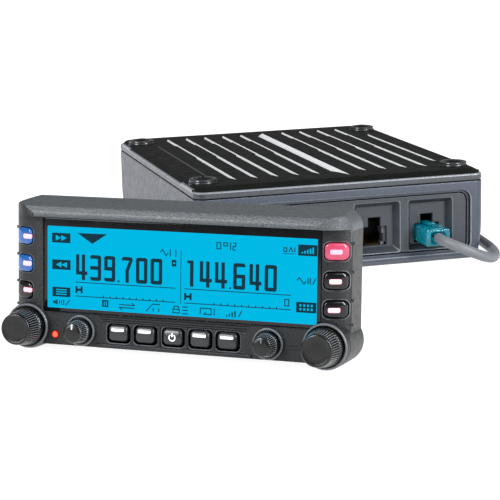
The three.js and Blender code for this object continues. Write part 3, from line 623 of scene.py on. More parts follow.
def cover():
    loops = []
    for z, s, f, r, c in ((37.6, 0.6, 0.6, 0.6, 4.5), (37.8, 0.16, 0.16, 0.16, 4.85), (38.2, 0, 0, 0, 5), (40.0, 0, 0, 0, 5), (40.3, 0.08, 0.08, 0.08, 4.95), (40.52, 0.3, 0.3, 0.3, 4.8), (40.62, 0.62, 0.62, 0.62, 4.6),
                          (40.66, 0.95, 1.05, 0.95, 4.4), (41.4, 1.5, 2.2, 1.5, 4.6), (42.25, 2.35, 3.9, 2.35, 4.6), (42.52, 2.8, 4.6, 2.8, 4.5), (42.6, 3.3, 5.3, 3.3, 4.3)):
        loops.append(at("z", plan(s, f, r, c), z))
    a = loft(loops)
    a = cut(a, rbox("z", -X + 2.6, X - 2.6, -Y + 2.6, Y - 2.6, 3, 36, 39.6))
    tools = []
    for sx in (-1, 1):
        for sy in (-1, 1):
            tools.append(lathe("z", sx * BX, sy * BY, [(BR + 0.5, 38), (BR + 0.5, 42.3), (BR + 0.12, 42.75), (BR, 43.1), (BR, 43.8), (BR - 0.1, 44.0), (BR - 0.35, 44.15), (BR - 0.7, 44.2), (4.4, 44.2)], 48))
            # raised lug on the rim beside each boss
            x0, x1 = (X - 1.9, X - 0.15) if sx > 0 else (-X + 0.15, -X + 1.9)
            y0, y1 = (BY - 9.2, BY + 10.5) if sy > 0 else (-BY - 12.4, -BY + 9.5)
            tools.append(rbox("z", x0, x1, y0, y1, 0.8, 39, 41.35, f1=0.3, n=4))
    a = join(a, *tools)
    cuts = []
    for sx in (-1, 1):
        for sy in (-1, 1):
            cuts.append(lathe("z", sx * BX, sy * BY, [(2.1, 36), (2.1, 42.55), (4.35, 42.6), (4.35, 44.0), (4.6, 44.25), (4.6, 45)], 40))
    for x in GROOVES:
        edge = abs(x) > 52
        if edge:
            st = [(-49 if x < 0 else -50, 0.02, 0.02), (-44, 0.5, 0.5), (48, 0.5, 0.5), (50, 0.02, 0.02)] if x < 0 else [(-52, 0.02, 0.02), (-47, 0.8, 0.8), (40, 0.8, 0.8), (44, 0.02, 0.02)]
        else:
            st = [(-64, 0.02, 0.02), (-59, 1, 1), (6, 1, 1), (6.6, 0.5, 0.5), (46, 0.5, 0.5), (46.6, 1, 1), (69.5, 1, 1), (70.2, 0.05, 0.05)]
        cuts.append(groove(x, st))
    # the wide groove in the middle
    loops = []
    for y, s in ((-72, 0.02), (-64, 0.55), (-60, 1), (70, 1), (70.8, 0.05)):
        loops.append([(6.7 - 5.0 * s, y, TOP + 0.4), (6.7 - 5.0 * s, y, TOP), (6.7 - 3.5 * s, y, TOP - 2.0 * s), (6.7, y, TOP), (6.7, y, TOP + 0.4)])
    cuts.append(loft(loops))
    a = cutall(a, cuts)
    return a


def cover_paint_pick(c, n):
    r = min(math.hypot(c.x - sx * BX, c.y - sy * BY) for sx in (-1, 1) for sy in (-1, 1))
    # the bosses get the lighter boss colour as a painted sheen
    if r < 7.3 and c.z > 41.2:
        return 4
    # steep groove walls facing left get near-white as a painted highlight; the leftmost groove gets the rim colour as a
    # fainter painted highlight
    if c.z > 40.9 and n.x < -0.28 and n.z < 0.9 and abs(c.x) < 60 and abs(c.y) < 75:
        return 1 if c.x < -54 else 2
    if (abs(c.x) > X - 5.2 or abs(c.y) > Y - 5.2) and n.z > -0.5:
        # the lugs' sides and the rim's top chamfer get the light grey edge colour as a painted highlight; the band
        # below keeps the rim paint
        if abs(c.x) > X - 2.0 and 40.7 < c.z < 41.4 and r < 14 and abs(n.y) < 0.6:
            return 3
        if 40.05 < c.z < 40.64:
            return 3
        if c.z <= 40.05:
            return 1
    return 0


piece(cover(), "cover_shell", MAIN, mats=["cover", "rim", "fin_edge_highlight", "rim_edge_highlight", "boss"], pick=cover_paint_pick, replaces=["top_cover"], slot="cover_paint", ang=25)


def screw(x, y, turn):
    a = lathe("z", x, y, [(1.8, 30), (1.8, 42.9), (3.9, 42.9), (3.98, 43.1), (3.98, 43.95), (3.8, 44.2), (3.3, 44.5), (2.5, 44.75), (1.4, 44.88), (0.01, 44.9)], 40)
    tools = []
    for k in range(2):
        t = loft([[(-s_ * 1.0, -0.42 * q, z), (s_ * 1.0, -0.42 * q, z), (s_ * 1.0, 0.42 * q, z), (-s_ * 1.0, 0.42 * q, z)] for z, s_, q in ((43.2, 0.7, 0.6), (43.6, 1.5, 0.8), (45.2, 2.5, 1.15))])
        t.data.transform(Matrix.Translation((x, y, 0)) @ Matrix.Rotation(turn + k * math.pi / 2, 4, "Z"))
        tools.append(t)
    return cut(a, *tools)


_n = 0
for sy in (-1, 1):
    for sx in (-1, 1):
        _n += 1
        piece(screw(sx * BX, sy * BY, 0.35 + _n), f"cover_screw_head_{_n}", MAIN, mats=["screw"], replaces=[f"cover_screw_{_n}"], slot="black_screw", ang=30)


def tee(cx, grow=0.0, zb=JACK_Z):
    g = grow
    return [(x + cx, z + zb) for x, z in ((-6.1 - g, -g), (6.1 + g, -g), (6.1 + g, 8.8 + g), (3 + g, 8.8 + g), (3 + g, 13.2 + g), (-3 - g, 13.2 + g), (-3 - g, 8.8 + g), (-6.1 - g, 8.8 + g))]


def front_panel():
    a = rbox("y", RX0 + 1.75, RX1 - 1.75, RZ0 + 1.75, RZ1 - 1.75, RRAD - 1.5, FACE, FACE + 5.6, f0=0.25, n=8)
    pockets = []
    for x0, x1 in ((8, 26), (34.7, 52.2)):
        pockets.append(loft([at("y", rr(x0 - d, x1 + d, 8.3 - d, 27.6 + d, 0.5 + 0.3 * d, 4), y) for y, d in ((FACE - 0.6, 2.95), (FACE - 0.001, 2.55), (FACE + 0.22, 2.2), (FACE + 3.7, 0.2), (FACE + 4, 0))]))
    a = cutall(a, pockets)
    tees = [loft([at("y", tee(cx, g), y) for y, g in ((FACE + 3.2, 0.7), (FACE + 3.99, 0.3), (FACE + 4.3, 0.0), (FACE + 8, 0.0))]) for cx in (MIC_X, CTRL_X)]
    a = cutall(a, tees)
    return a


# the pockets' mouth chamfers get the lighter grey as a painted highlight
piece(front_panel(), "jack_panel", MAIN, mats=["panel", "panel_edge_highlight"], pick=lambda c, n: 1 if c.y < FACE + 0.24 and 0.15 < abs(n.y) < 0.98 and abs(c.x) < 60 and 5 < c.z < 31 else 0, replaces=["front_panel"], slot="panel_plastic", ang=28)


def jack(cx):
    y0, y1 = FACE + 5.9, -58.0
    a = rbox("y", cx - 8, cx + 8, JACK_Z - 1.6, JACK_Z + 15, 0.6, y0, y1, f0=0.2, n=3)
    a = cut(a, prism("y", tee(cx, 0.2), y0 - 1, y1 - 3))
    paint(a, ["socket"])
    # guide ledges at the right wall, and the contacts
    pins = []
    if cx == MIC_X:
        for x0, za, zb in ((4.6, 5.2, 8.9), (5.4, -0.1, 5.0), (4.0, -0.2, 1.0)):
            pins.append(paint(box(cx + x0, cx + 6.3, y0 + 0.5, y0 + 6, JACK_Z + za, JACK_Z + zb), ["ledge"]))
    for i in range(8):
        x = cx - 3.57 + 1.02 * i
        pins.append(paint(tube([Vector((x, y0 + 0.3, JACK_Z + 0.3)), Vector((x, y0 + 1.5, JACK_Z + 0.42)), Vector((x, y0 + 6.0, JACK_Z + 0.9)), Vector((x, y0 + 10.0, JACK_Z + 1.5))], 0.15, 8), ["gold"]))
    return merge([a] + pins)


piece(jack(MIC_X), "mic_socket", MAIN, replaces=["mic_jack"], slot="black_plastic", ang=30, wn=False)
piece(jack(CTRL_X), "control_socket", MAIN, replaces=["control_jack"], slot="black_plastic", ang=30, wn=False)


def plug(cx, zb, y_tip, y_tail):
    """Clear modular plug: body, latch, conductor bed, crimped sheath and contacts. y_tip is the contact end."""
    s = 1 if y_tip > y_tail else -1       # +1: the tip points to +Y

    def yy(t):                            # t mm from the tip towards the tail
        return y_tip - s * t

    def yb(a, b):
        return (min(yy(a), yy(b)), max(yy(a), yy(b)))
    length = abs(y_tip - y_tail)
    lo, hi = yb(0, length)
    body = rbox("y", cx - 5.8, cx + 5.8, zb + 0.6, zb + 8.2, 0.7, lo, hi, f0=0.35, f1=0.35, n=4)
    # hollow at the tail for the sheath, and the slot of the strain bar on the top
    t0, t1 = yb(length - 9, length + 1)
    cuts = [rbox("y", cx - 3.6, cx + 3.6, zb + 1.5, zb + 7.3, 1.2, t0, t1, n=4)]
    t0, t1 = yb(length - 8.5, length - 4.2)
    cuts.append(box(cx - 3.0, cx + 3.0, t0, t1, zb + 7.6, zb + 9))
    body = cut(body, *cuts)
    latch = loft([[(cx - w, yy(t), z0), (cx + w, yy(t), z0), (cx + w, yy(t), z1), (cx - w, yy(t), z1)] for t, w, z0, z1 in ((0.9, 2.5, zb + 7.9, zb + 8.7), (3.5, 2.5, zb + 8.2, zb + 9.3), (4.2, 1.9, zb + 8.5, zb + 9.4), (9.5, 1.7, zb + 8.8, zb + 9.7), (14.6, 1.6, zb + 9.0, zb + 10.0))])
    latch = bevel(latch, 0.15, 2, 40)
    # shell and conductor bed glow faintly teal through their emission: a painted glow
    shell = merge([paint(body, ["teal"]), paint(latch, ["teal"])])
    core = []
    t0, t1 = yb(5.0, length - 9.4)
    core.append(paint(rbox("y", cx - 4.9, cx + 4.9, zb + 2.2, zb + 6.3, 0.5, t0, t1, n=3), ["teal_core"]))
    for i in range(8):
        x = cx - 3.57 + 1.02 * i
        t0, t1 = yb(0.5, 6.2)
        core.append(paint(box(x - 0.15, x + 0.15, t0, t1, zb + 0.45, zb + 3.6), ["gold"]))
        t0, t1 = yb(3.0, length - 8.0)
        core.append(paint(cyl("y", x, zb + 3.3, t0, t1, 0.42, 8), ["cable"]))
    return shell, merge(core)


shell, core = plug(CTRL_X, JACK_Z, -69.5, -91.5)
plug_main = piece(shell, "plug_main_shell", MAIN, replaces=["cable_plug_main"], slot="plug_teal", ang=30, wn=False)
core_main = piece(core, "plug_main_core", MAIN, slot="plug_teal", ang=30, wn=False)
shell, core = plug(-22, 5.4, 21.5, 43)
plug_head = piece(shell, "plug_head_shell", HEAD, replaces=["cable_plug_head"], slot="plug_teal", ang=30, wn=False)
core_head = piece(core, "plug_head_core", HEAD, slot="plug_teal", ang=30, wn=False)
ROW_PATH = [(p + ROW) * 0.001 for p in PATH]
tuple(ROW_PATH[0])
[tuple(p) for p in ROW_PATH]

# ------------------------------------------------------------------ control head: front case
HW, HTOP, HBACK = 68.3, 54.4, 13.0
KX, KZ, PX, PZ = 60.5, 6.8, 38.2, 6.2
LX0, LX1, LZ0, LZ1 = -52.9, 56.5, 14.3, 46.1
SKX, SKZ = 63.3, (41.65, 30.85, 20.3)
LKX, LKZ = (-22.5, -11.4, 0.0, 11.0, 22.0), 6.1


def mirror(pts):
    return pts + [(-x, y) for x, y in reversed(pts)]


def spline2(pts, per):
    return [(p.x, p.y) for p in catmull([(x, y, 0) for x, y in pts], per)]


SHOULDER = spline2([(57, 0), (60.5, 1.0), (64, 2.6), (66.7, 4.5), (68.1, 6.0), (70.3, 7.6)], 4)
KEYFRONT = spline2([(57, -0.8), (60.5, 0.05), (64, 1.4), (66.7, 3.0), (68.3, 4.6), (71.3, 7)], 4)
HDEEP = 19.5


def along(curve, x):
    x = abs(x)
    if x <= curve[0][0]:
        return curve[0][1]
    for (a, b), (c, d) in zip(curve, curve[1:]):
        if a <= x <= c:
            return b + (d - b) * (x - a) / max(c - a, 1e-9)
    return curve[-1][1]


def shoulder_y(x):
    return along(SHOULDER, x)


def head_outline(d=0.0):
    half = []
    for i in range(25):
        a = math.radians(229.1 + (389.9 - 229.1) * i / 24)
        half.append((KX + (9 - d) * math.cos(a), KZ + (9 - d) * math.sin(a)))
    for i in range(11):
        a = math.radians(90 * i / 10)
        half.append((HW - 8.0 + (8.0 - d) * math.cos(a), 57.2 - 8.0 + (8.0 - d) * math.sin(a)))
    # the flat bottom between the bulges
    q = mirror(half)
    return [(x, max(z, d) if abs(x) < 54.7 else z) for x, z in q]


def front_case():
    core = prism("y", head_outline(), -6, HDEEP)
    sh = mirror([(HW + 3, HDEEP + 2), (HW + 3, 9)] + [p for p in reversed(SHOULDER)])
    side = [(-8, -12), (HDEEP, -12), (HDEEP, 55.3), (HDEEP - 0.35, 55.95), (HDEEP - 1.1, 56.4), (HDEEP - 2.2, 56.5), (13, 56.15), (6, 55.3), (1.5, 54.5), (-8, 53.2)]
    a = both(core, prism("z", sh, -10, HTOP + 8), prism("x", side, -80, 80))
    a = bevel(a, 0.7, 3, 50)
    # swollen corners, rounded at the front
    for s in (-1, 1):
        prof = [(6.6, 0.0)] + [(6.6 + 2.4 * math.sin(math.pi / 2 * i / 8), 2.4 - 2.4 * math.cos(math.pi / 2 * i / 8)) for i in range(1, 9)] + [(9.0, HDEEP - 0.7), (8.8, HDEEP - 0.2), (8.3, HDEEP)]
        a = join(a, lathe("y", s * KX, KZ, prof, 72))
    # hood: rounded lip, slightly sloping front, top running back
    lip = [(9, 49.7), (9, 54.6), (5, 54.9), (0.5, HTOP + 0.05), (-0.9, HTOP - 0.06), (-1.5, HTOP - 0.3), (-1.95, HTOP - 0.75), (-3.0, 52.0), (-3.25, 51.3), (-3.3, 50.4), (-3.1, 49.85), (-2.7, 49.7)]
    hood_plan = spline2([(55, -3.5), (59, -2.8), (62.4, -1.2), (65.2, 1.2), (67.2, 4.0), (68.2, 7.0)], 4)
    hood = both(prism("y", head_outline(), -6, 9), prism("x", lip, -HW - 1, HW + 1), prism("z", mirror([(HW + 0.5, 12), (HW + 0.3, 9)] + list(reversed(hood_plan))), 45, HTOP + 3))
    hood = bevel(hood, 0.55, 3, 38)
    a = join(a, hood)
    # hollow
    inner = both(prism("y", rr(-66.4, 66.4, 1.7, 51.8, 4.2, 5), 2.5, HDEEP + 1), prism("z", mirror([(HW, HDEEP + 1), (HW, 9), (HW - 2.3, 7.8), (62, 4.8), (57, 2.5)]), 0, HTOP))
    a = cut(a, inner)
    a = cut(a, *[cyl("y", s * KX, KZ, 2.5, HBACK, 7.3, 40) for s in (-1, 1)])
    # grip ribs on the sides, and the ribs of the lower row
    adds = []
    for s in (-1, 1):
        for z in (44.6, 34.0, 23.4, 14.3):
            adds.append(loft([[(s * (HW - 1.2), y0_, z0_), (s * x1_, y0_, z0_), (s * x1_, y0_, z1_), (s * (HW - 1.2), y0_, z1_)] for y0_, x1_, z0_, z1_ in ((5.2, HW - 0.9, z - 0.3, z + 0.5), (6.4, HW + 0.75, z - 0.6, z + 0.45), (9.2, HW + 0.55, z - 0.75, z + 0.1), (12.0, HW - 0.1, z - 0.6, z - 0.2))]))
    for x in (-5.8, 5.5):
        adds.append(rbox("y", x - 0.55, x + 0.55, 1.2, 9.9, 0.5, -0.62, 0.4, f0=0.3, n=4))
    for x in (-17.0, 16.5):
        adds.append(rbox("y", x - 0.5, x + 0.5, 2.6, 8.8, 0.45, -0.45, 0.4, f0=0.25, n=4))
    # chin below the keys
    adds.append(rbox("y", -31.5, 31.5, 0.05, 1.55, 0.3, -0.7, 0.5, f0=0.3, n=3))
    for s in (-1, 1):
        adds.append(lathe("y", s * KX, KZ, [(8.95, 0.8), (8.95, -0.2), (8.75, -1.5), (8.55, -1.85), (8.3, -2.0), (8.0, -2.0), (7.85, -1.85), (7.8, -1.6), (7.8, -0.15), (0.5, -0.15), (0.5, 0.8)], 72))
        adds.append(lathe("y", s * PX, PZ, [(6.2, 0.8), (6.2, -0.1), (6.05, -1.0), (5.9, -1.28), (5.7, -1.4), (5.45, -1.4), (5.28, -1.28), (5.2, -1.05), (5.2, -0.12), (0.4, -0.12), (0.4, 0.8)], 56))
    a = join(a, *adds)
    cuts = [rbox("y", LX0 - 1.8, LX1 + 1.8, LZ0 - 1.6, LZ1 + 3.4, 0.9, -0.001, 4, f0=-0.45, n=5)]
    a = cut(a, cuts[0])
    cuts = []
    for s in (-1, 1):
        for z in SKZ:
            # the pocket's mouth follows the shoulder
            base = rr(SKX - 4.4, SKX + 4.3, z - 3.5, z + 3.5, 2.1, 6)
            cuts.append(loft([[(s * (x + (0.0)), y_, zz) for x, zz in base] if s > 0 else [(-x, y_, zz) for x, zz in reversed(base)] for y_ in (-3.0, 8.7)]))
    a = cutall(a, cuts)
    cuts = []
    for x in LKX:
        w = 4.95 if x else 4.7
        cuts.append(rbox("y", x - w, x + w, LKZ - 3.95, LKZ + 3.6, 1.9, -0.001, 4, f0=-0.3, n=6))
    a = cutall(a, cuts)
    cuts = []
    for s in (-1, 1):
        cuts.append(cyl("y", s * KX, KZ, -4, 3.2, 3.5, 32))
        cuts.append(cyl("y", s * PX, PZ, -4, 3.2, 3.0, 32))
    cuts.append(cyl("y", -49.4, 3.9, -0.001, 4, 1.5, 28, f0=-0.3))
    a = cutall(a, cuts)
    # fine steps below the window
    cuts = []
    for i, z in enumerate((12.05, 11.15, 10.3)):
        cuts.append(loft([[(x, -0.4, z + 0.22), (x, 0.0, z + 0.1), (x, 0.34, z - 0.04), (x, 0.0, z - 0.22), (x, -0.4, z - 0.34)] for x in (-30.5 + i * 0.7, 31.0 - i * 0.7)]))
    a = cutall(a, cuts)
    cuts = []
    # small generic legend marks beside the right knob
    for x, z in ((47.4, 8.3), (49.6, 8.3)):
        cuts.append(box(x - 0.85, x + 0.85, -1, 0.12, z - 0.35, z + 0.35))
    for z in (5.9, 4.6):
        cuts.append(box(46.4, 50.5, -1, 0.2, z - 0.22, z + 0.22))
    a = cutall(a, cuts)
    # flat where the head stands
    a = cut(a, prism("x", [(-8, -14), (24, -14), (24, 0.28), (-8, -3.11)], -80, 80))
    return a


def head_pick(c, n):
    x, y, z = c
    ax = abs(x)
    if 0.0 <= y < 4.1 and z < 10.5:
        for k in LKX:
            if abs(x - k) < 5.3 and LKZ - 4.3 < z < LKZ + 4.0:
                # the lower key pockets' chamfers get the lighter edge colour as a painted highlight
                if y < 0.3 and 0.3 < abs(n.y) < 0.95:
                    return 3
                if abs(n.y) < 0.5 or y > 0.6:
                    return 1
    if y > 0.5 and LX0 - 1.85 < x < LX1 + 1.85 and LZ0 - 1.7 < z < LZ1 + 3.5 and abs(n.y) < 0.6 and y < 4.2:
        return 1
    for k in SKZ:
        if SKX - 4.45 < ax < SKX + 4.35 and abs(z - k) < 3.55 and y > shoulder_y(x) + 0.3 and y < 9:
            return 1
    for s in (-1, 1):
        r = math.hypot(x - s * KX, z - KZ)
        if r < 8.02 and y > -1.95:
            return 1
        # the collars' front lips, here and at the volume knobs, get the lighter edge colour as a painted highlight
        if 8.0 < r < 8.9 and y < -1.2:
            return 3
        r = math.hypot(x - s * PX, z - PZ)
        if r < 5.35 and y > -1.3 and z > 0.2:
            return 1
        if 5.3 < r < 6.1 and y < -1.0:
            return 3
    if 2.4 < y < HDEEP - 0.05 and ax < 66.5 and 1.6 < z < 51.9 and y > shoulder_y(x) + 1.9:
        return 1
    # the hood, except its left end, gets the lighter hood colour as a painted sheen
    if z > 49.65 and x > -57.5:
        return 2
    return 0


piece(front_case(), "head_front_shell", HEAD, mats=["head", "pocket", "hood", "head_edge_highlight"], pick=head_pick, replaces=["head_front_case"], slot="head_case", ang=30)

# ------------------------------------------------------------------ control head: rear case
def rear_case():
    a = rbox("y", -60, 60, 1, 48, 4, HBACK + 1, 30, f1=2.0, n=6, k=5)
    a = join(a, rbox("y", -66, 66, 2, 51.4, 4, HBACK + 0.3, HBACK + 2.3, f1=0.4, n=6))
    a = cut(a, rbox("y", -58, 58, 3, 46, 3, HBACK - 1, 28, n=4))
    a = join(a, *[lathe("y", s * 30, 32, [(5, 29), (5, 30.8), (4.85, 31.1), (4.5, 31.2), (2.2, 31.2), (2.1, 31.0), (2.1, 29.2), (0.3, 29.2), (0.3, 28.5)], 40) for s in (-1, 1)])
    tools = [loft([at("y", tee(-22, g, 5.4), y) for y, g in ((26, 0.0), (29.6, 0.0), (30.0, 0.35), (30.8, 0.9))])]
    tools += [cyl("y", s * 63.9, z, HBACK - 1, HBACK + 4, 1.5, 16) for s in (-1, 1) for z in (14.5, 47.3)]
    tools += [rbox("y", x - 0.7, x + 0.7, 12, 22, 0.65, 26, 31, n=3) for x in (14, 18, 22, 26, 30, 34, 38)]
    return cutall(a, tools)


piece(rear_case(), "head_rear_shell", HEAD, mats=["rear"], replaces=["head_rear_case"], slot="rear_case", ang=30)
_n = 0
for s in (-1, 1):
    for z in (14.5, 47.3):
        _n += 1
        a = lathe("y", s * 63.9, z, [(1.2, 10.8), (1.2, 15.6), (2.5, 15.6), (2.5, 16.3), (2.3, 16.75), (1.7, 17.05), (0.8, 17.2), (0.01, 17.2)], 28)
        a = cut(a, box(s * 63.9 - 1.6, s * 63.9 + 1.6, 16.3, 18, z - 0.28, z + 0.28), box(s * 63.9 - 0.28, s * 63.9 + 0.28, 16.3, 18, z - 1.6, z + 1.6))
        piece(a, f"head_screw_head_{_n}", HEAD, mats=["screw"], replaces=[f"head_screw_{_n}"], slot="black_screw", ang=30)

# ------------------------------------------------------------------ display
def display():
    fr = paint(rbox("y", LX0 - 1.5, LX1 + 1.5, LZ0 - 1.3, LZ1 + 3.1, 0.8, 0.75, 2.2, f0=0.12, n=4), ["glass"])
    lit = paint(rbox("y", LX0, LX1, LZ0, LZ1, 0.35, 0.66, 1.2, n=4), ["lcd"])
    return merge([fr, lit])


piece(display(), "display_panel", HEAD, replaces=["lcd_window"], slot="display_blue", ang=30, wn=False)

SEG = {"0": "abcdef", "1": "bc", "2": "abged", "3": "abgcd", "4": "fgbc", "5": "afgcd", "6": "afgedc", "7": "abc", "8": "abcdefg", "9": "abcdfg"}


def digit(ch, x0, x1, z0, z1, t):
    """Blocky display digit from overlapping strokes, corners clipped."""
    zm = (z0 + z1) / 2
    k = t * 0.42
    seg = {
        "a": [(x0 + k, z1), (x1 - k, z1), (x1, z1 - k), (x1, z1 - t), (x0, z1 - t), (x0, z1 - k)],
        "d": [(x0 + k, z0), (x1 - k, z0), (x1, z0 + k), (x1, z0 + t), (x0, z0 + t), (x0, z0 + k)],
        "g": rect(x0, x1, zm - t / 2, zm + t / 2),
        "f": [(x0 + k, z1), (x0 + t, z1), (x0 + t, zm - t / 2), (x0, zm - t / 2), (x0, z1 - k)],
        "e": [(x0, zm + t / 2), (x0 + t, zm + t / 2), (x0 + t, z0), (x0 + k, z0), (x0, z0 + k)],
        "b": [(x1 - k, z1), (x1 - t, z1), (x1 - t, zm - t / 2), (x1, zm - t / 2), (x1, z1 - k)],
        "c": [(x1, zm + t / 2), (x1 - t, zm + t / 2), (x1 - t, z0), (x1 - k, z0), (x1, z0 + k)],
    }
    if ch == "4":
        # open figure with a low crossbar
        zc = z0 + (z1 - z0) * 0.27
        xb = x1 - t * 1.0
        return [[(x0 + t * 0.1, z1), (x0 + t * 1.05, z1), (x0 + t * 1.05, zc - t * 0.45), (x0 + k, zc - t * 0.45), (x0 + t * 0.1, zc)], rect(x0 + t * 0.1, x1 + t * 0.28, zc - t * 0.45, zc + t * 0.5), rect(xb - t * 0.35, xb + t * 0.62, z0, z1)]
    if ch == "7":
        return [seg["a"], [(x1 - t, z1 - t * 0.9), (x1, z1 - t * 0.9), (x1 - (x1 - x0) * 0.34, zm - t * 0.3), (x1 - (x1 - x0) * 0.34, z0), (x1 - (x1 - x0) * 0.34 - t, z0), (x1 - (x1 - x0) * 0.34 - t, zm - t * 0.1)]]
    if ch == "1":
        return [[(x1 - t, z0), (x1, z0), (x1, z1), (x0 + t * 0.2, z1), (x0 + t * 0.2, z1 - t * 0.75), (x1 - t, z1 - t * 0.75)]]
    return [seg[c] for c in SEG[ch]]


def ink_dark():
    p = []
    z0, z1, t = 25.7, 35.6, 1.42
    for ch, x0, x1 in (("4", -40.9, -36.4), ("3", -34.8, -30.2), ("9", -28.9, -24.3), ("7", -21.6, -17.1), ("0", -15.7, -11.0), ("0", -9.7, -4.9),
                       ("1", 4.9, 7.8), ("4", 10.2, 14.8), ("4", 16.3, 20.9), ("6", 23.7, 28.5), ("4", 30.0, 34.5), ("0", 36.1, 40.9)):
        p += digit(ch, x0, x1, z0, z1, t)
    p += [rect(-23.3, -22.5, 25.7, 26.4), rect(22.2, 22.9, 25.7, 26.4)]
    # pointer triangle
    p.append([(-40.2, 43.8), (-27.8, 43.9), (-33.9, 39.9)])
    # power marks beside the bars
    for x0 in (-41.0, 4.1):
        p += [rect(x0, x0 + 0.85, 20.5, 23.2), rect(x0 + 2.2, x0 + 3.05, 20.5, 23.2), rect(x0 + 0.8, x0 + 2.3, 21.4, 22.3)]
    # solid label boxes: each has a light icon cut in it, made as separate bars
    for x0, x1, za, zb, icon in ((-51.0, -43.2, 39.7, 43.5, "play"), (-50.9, -43.1, 29.3, 33.1, "back"), (-50.8, -43.2, 18.7, 22.4, "list"), (49.0, 56.4, 39.7, 43.8, "rec"), (48.6, 56.3, 18.6, 22.5, "keys")):
        p += label_box(x0, x1, za, zb, icon)
    # channel number box
    p += [rect(-29.7, -29.05, 15.8, 18.5), rect(-27.75, -27.1, 15.8, 18.5), rect(-29.7, -27.1, 18.0, 18.5), rect(-29.7, -27.1, 15.8, 16.25), rect(-28.62, -28.15, 16.2, 18.05)]
    # square marker by the reading
    p += [rect(-1.0, 0.8, 34.6, 35.5), rect(-1.0, 0.8, 33.0, 33.9), rect(-1.0, -0.4, 33.8, 34.7), rect(0.2, 0.8, 33.8, 34.7)]
    return p


def label_box(x0, x1, z0, z1, icon):
    """Filled box with a generic icon left open in it."""
    w, h = x1 - x0, z1 - z0
    cx, cz = (x0 + x1) / 2, (z0 + z1) / 2
    e = h * 0.2
    out = [rect(x0, x1, z0, z0 + e), rect(x0, x1, z1 - e, z1)]
    zi0, zi1 = z0 + e, z1 - e
    if icon == "play":      # two arrow heads pointing right
        xs = [x0, x0 + w * 0.18]
        out.append(rect(x0, x0 + w * 0.2, zi0, zi1))
        for k in range(2):
            a = x0 + w * (0.2 + 0.3 * k)
            b = a + w * 0.3
            out += [[(a, zi0), (b, zi0), (b, cz)], [(b, cz), (b, zi1), (a, zi1)]]
        out.append(rect(x0 + w * 0.8, x1, zi0, zi1))
    elif icon == "back":
        out.append(rect(x0, x0 + w * 0.2, zi0, zi1))
        for k in range(2):
            a = x0 + w * (0.2 + 0.3 * k)
            b = a + w * 0.3
            out += [[(a, zi0), (b, zi0), (a, cz)], [(a, cz), (b, zi1), (a, zi1)]]
        out.append(rect(x0 + w * 0.8, x1, zi0, zi1))
    elif icon == "list":    # three bars
        n = 3
        out += [rect(x0, x0 + w * 0.2, zi0, zi1), rect(x0 + w * 0.8, x1, zi0, zi1)]
        hh = (zi1 - zi0) / (2 * n - 1)
        for k in range(n - 1):
            out.append(rect(x0 + w * 0.2, x0 + w * 0.8, zi0 + hh * (2 * k + 1), zi0 + hh * (2 * k + 2)))
    elif icon == "rec":     # bars growing to the right
        xs = [0.18, 0.32, 0.46, 0.60, 0.74]
        out.append(rect(x0, x0 + w * 0.18, zi0, zi1))
        for k, q in enumerate(xs):
            a, b = x0 + w * q, x0 + w * (q + 0.08)
            top = zi0 + (zi1 - zi0) * (0.25 + 0.18 * k)
            out += [rect(a, b, top, zi1), rect(b, x0 + w * (q + 0.14) if k < 4 else x1, zi0, zi1)]
    else:                   # grid of dots
        out.append(rect(x0, x0 + w * 0.16, zi0, zi1))
        for k in range(4):
            a, b = x0 + w * (0.16 + 0.19 * k), x0 + w * (0.16 + 0.19 * k + 0.1)
            out += [rect(a, b, cz - h * 0.07, cz + h * 0.07), rect(b, x0 + w * (0.16 + 0.19 * (k + 1)) if k < 3 else x1, zi0, zi1)]
    return out


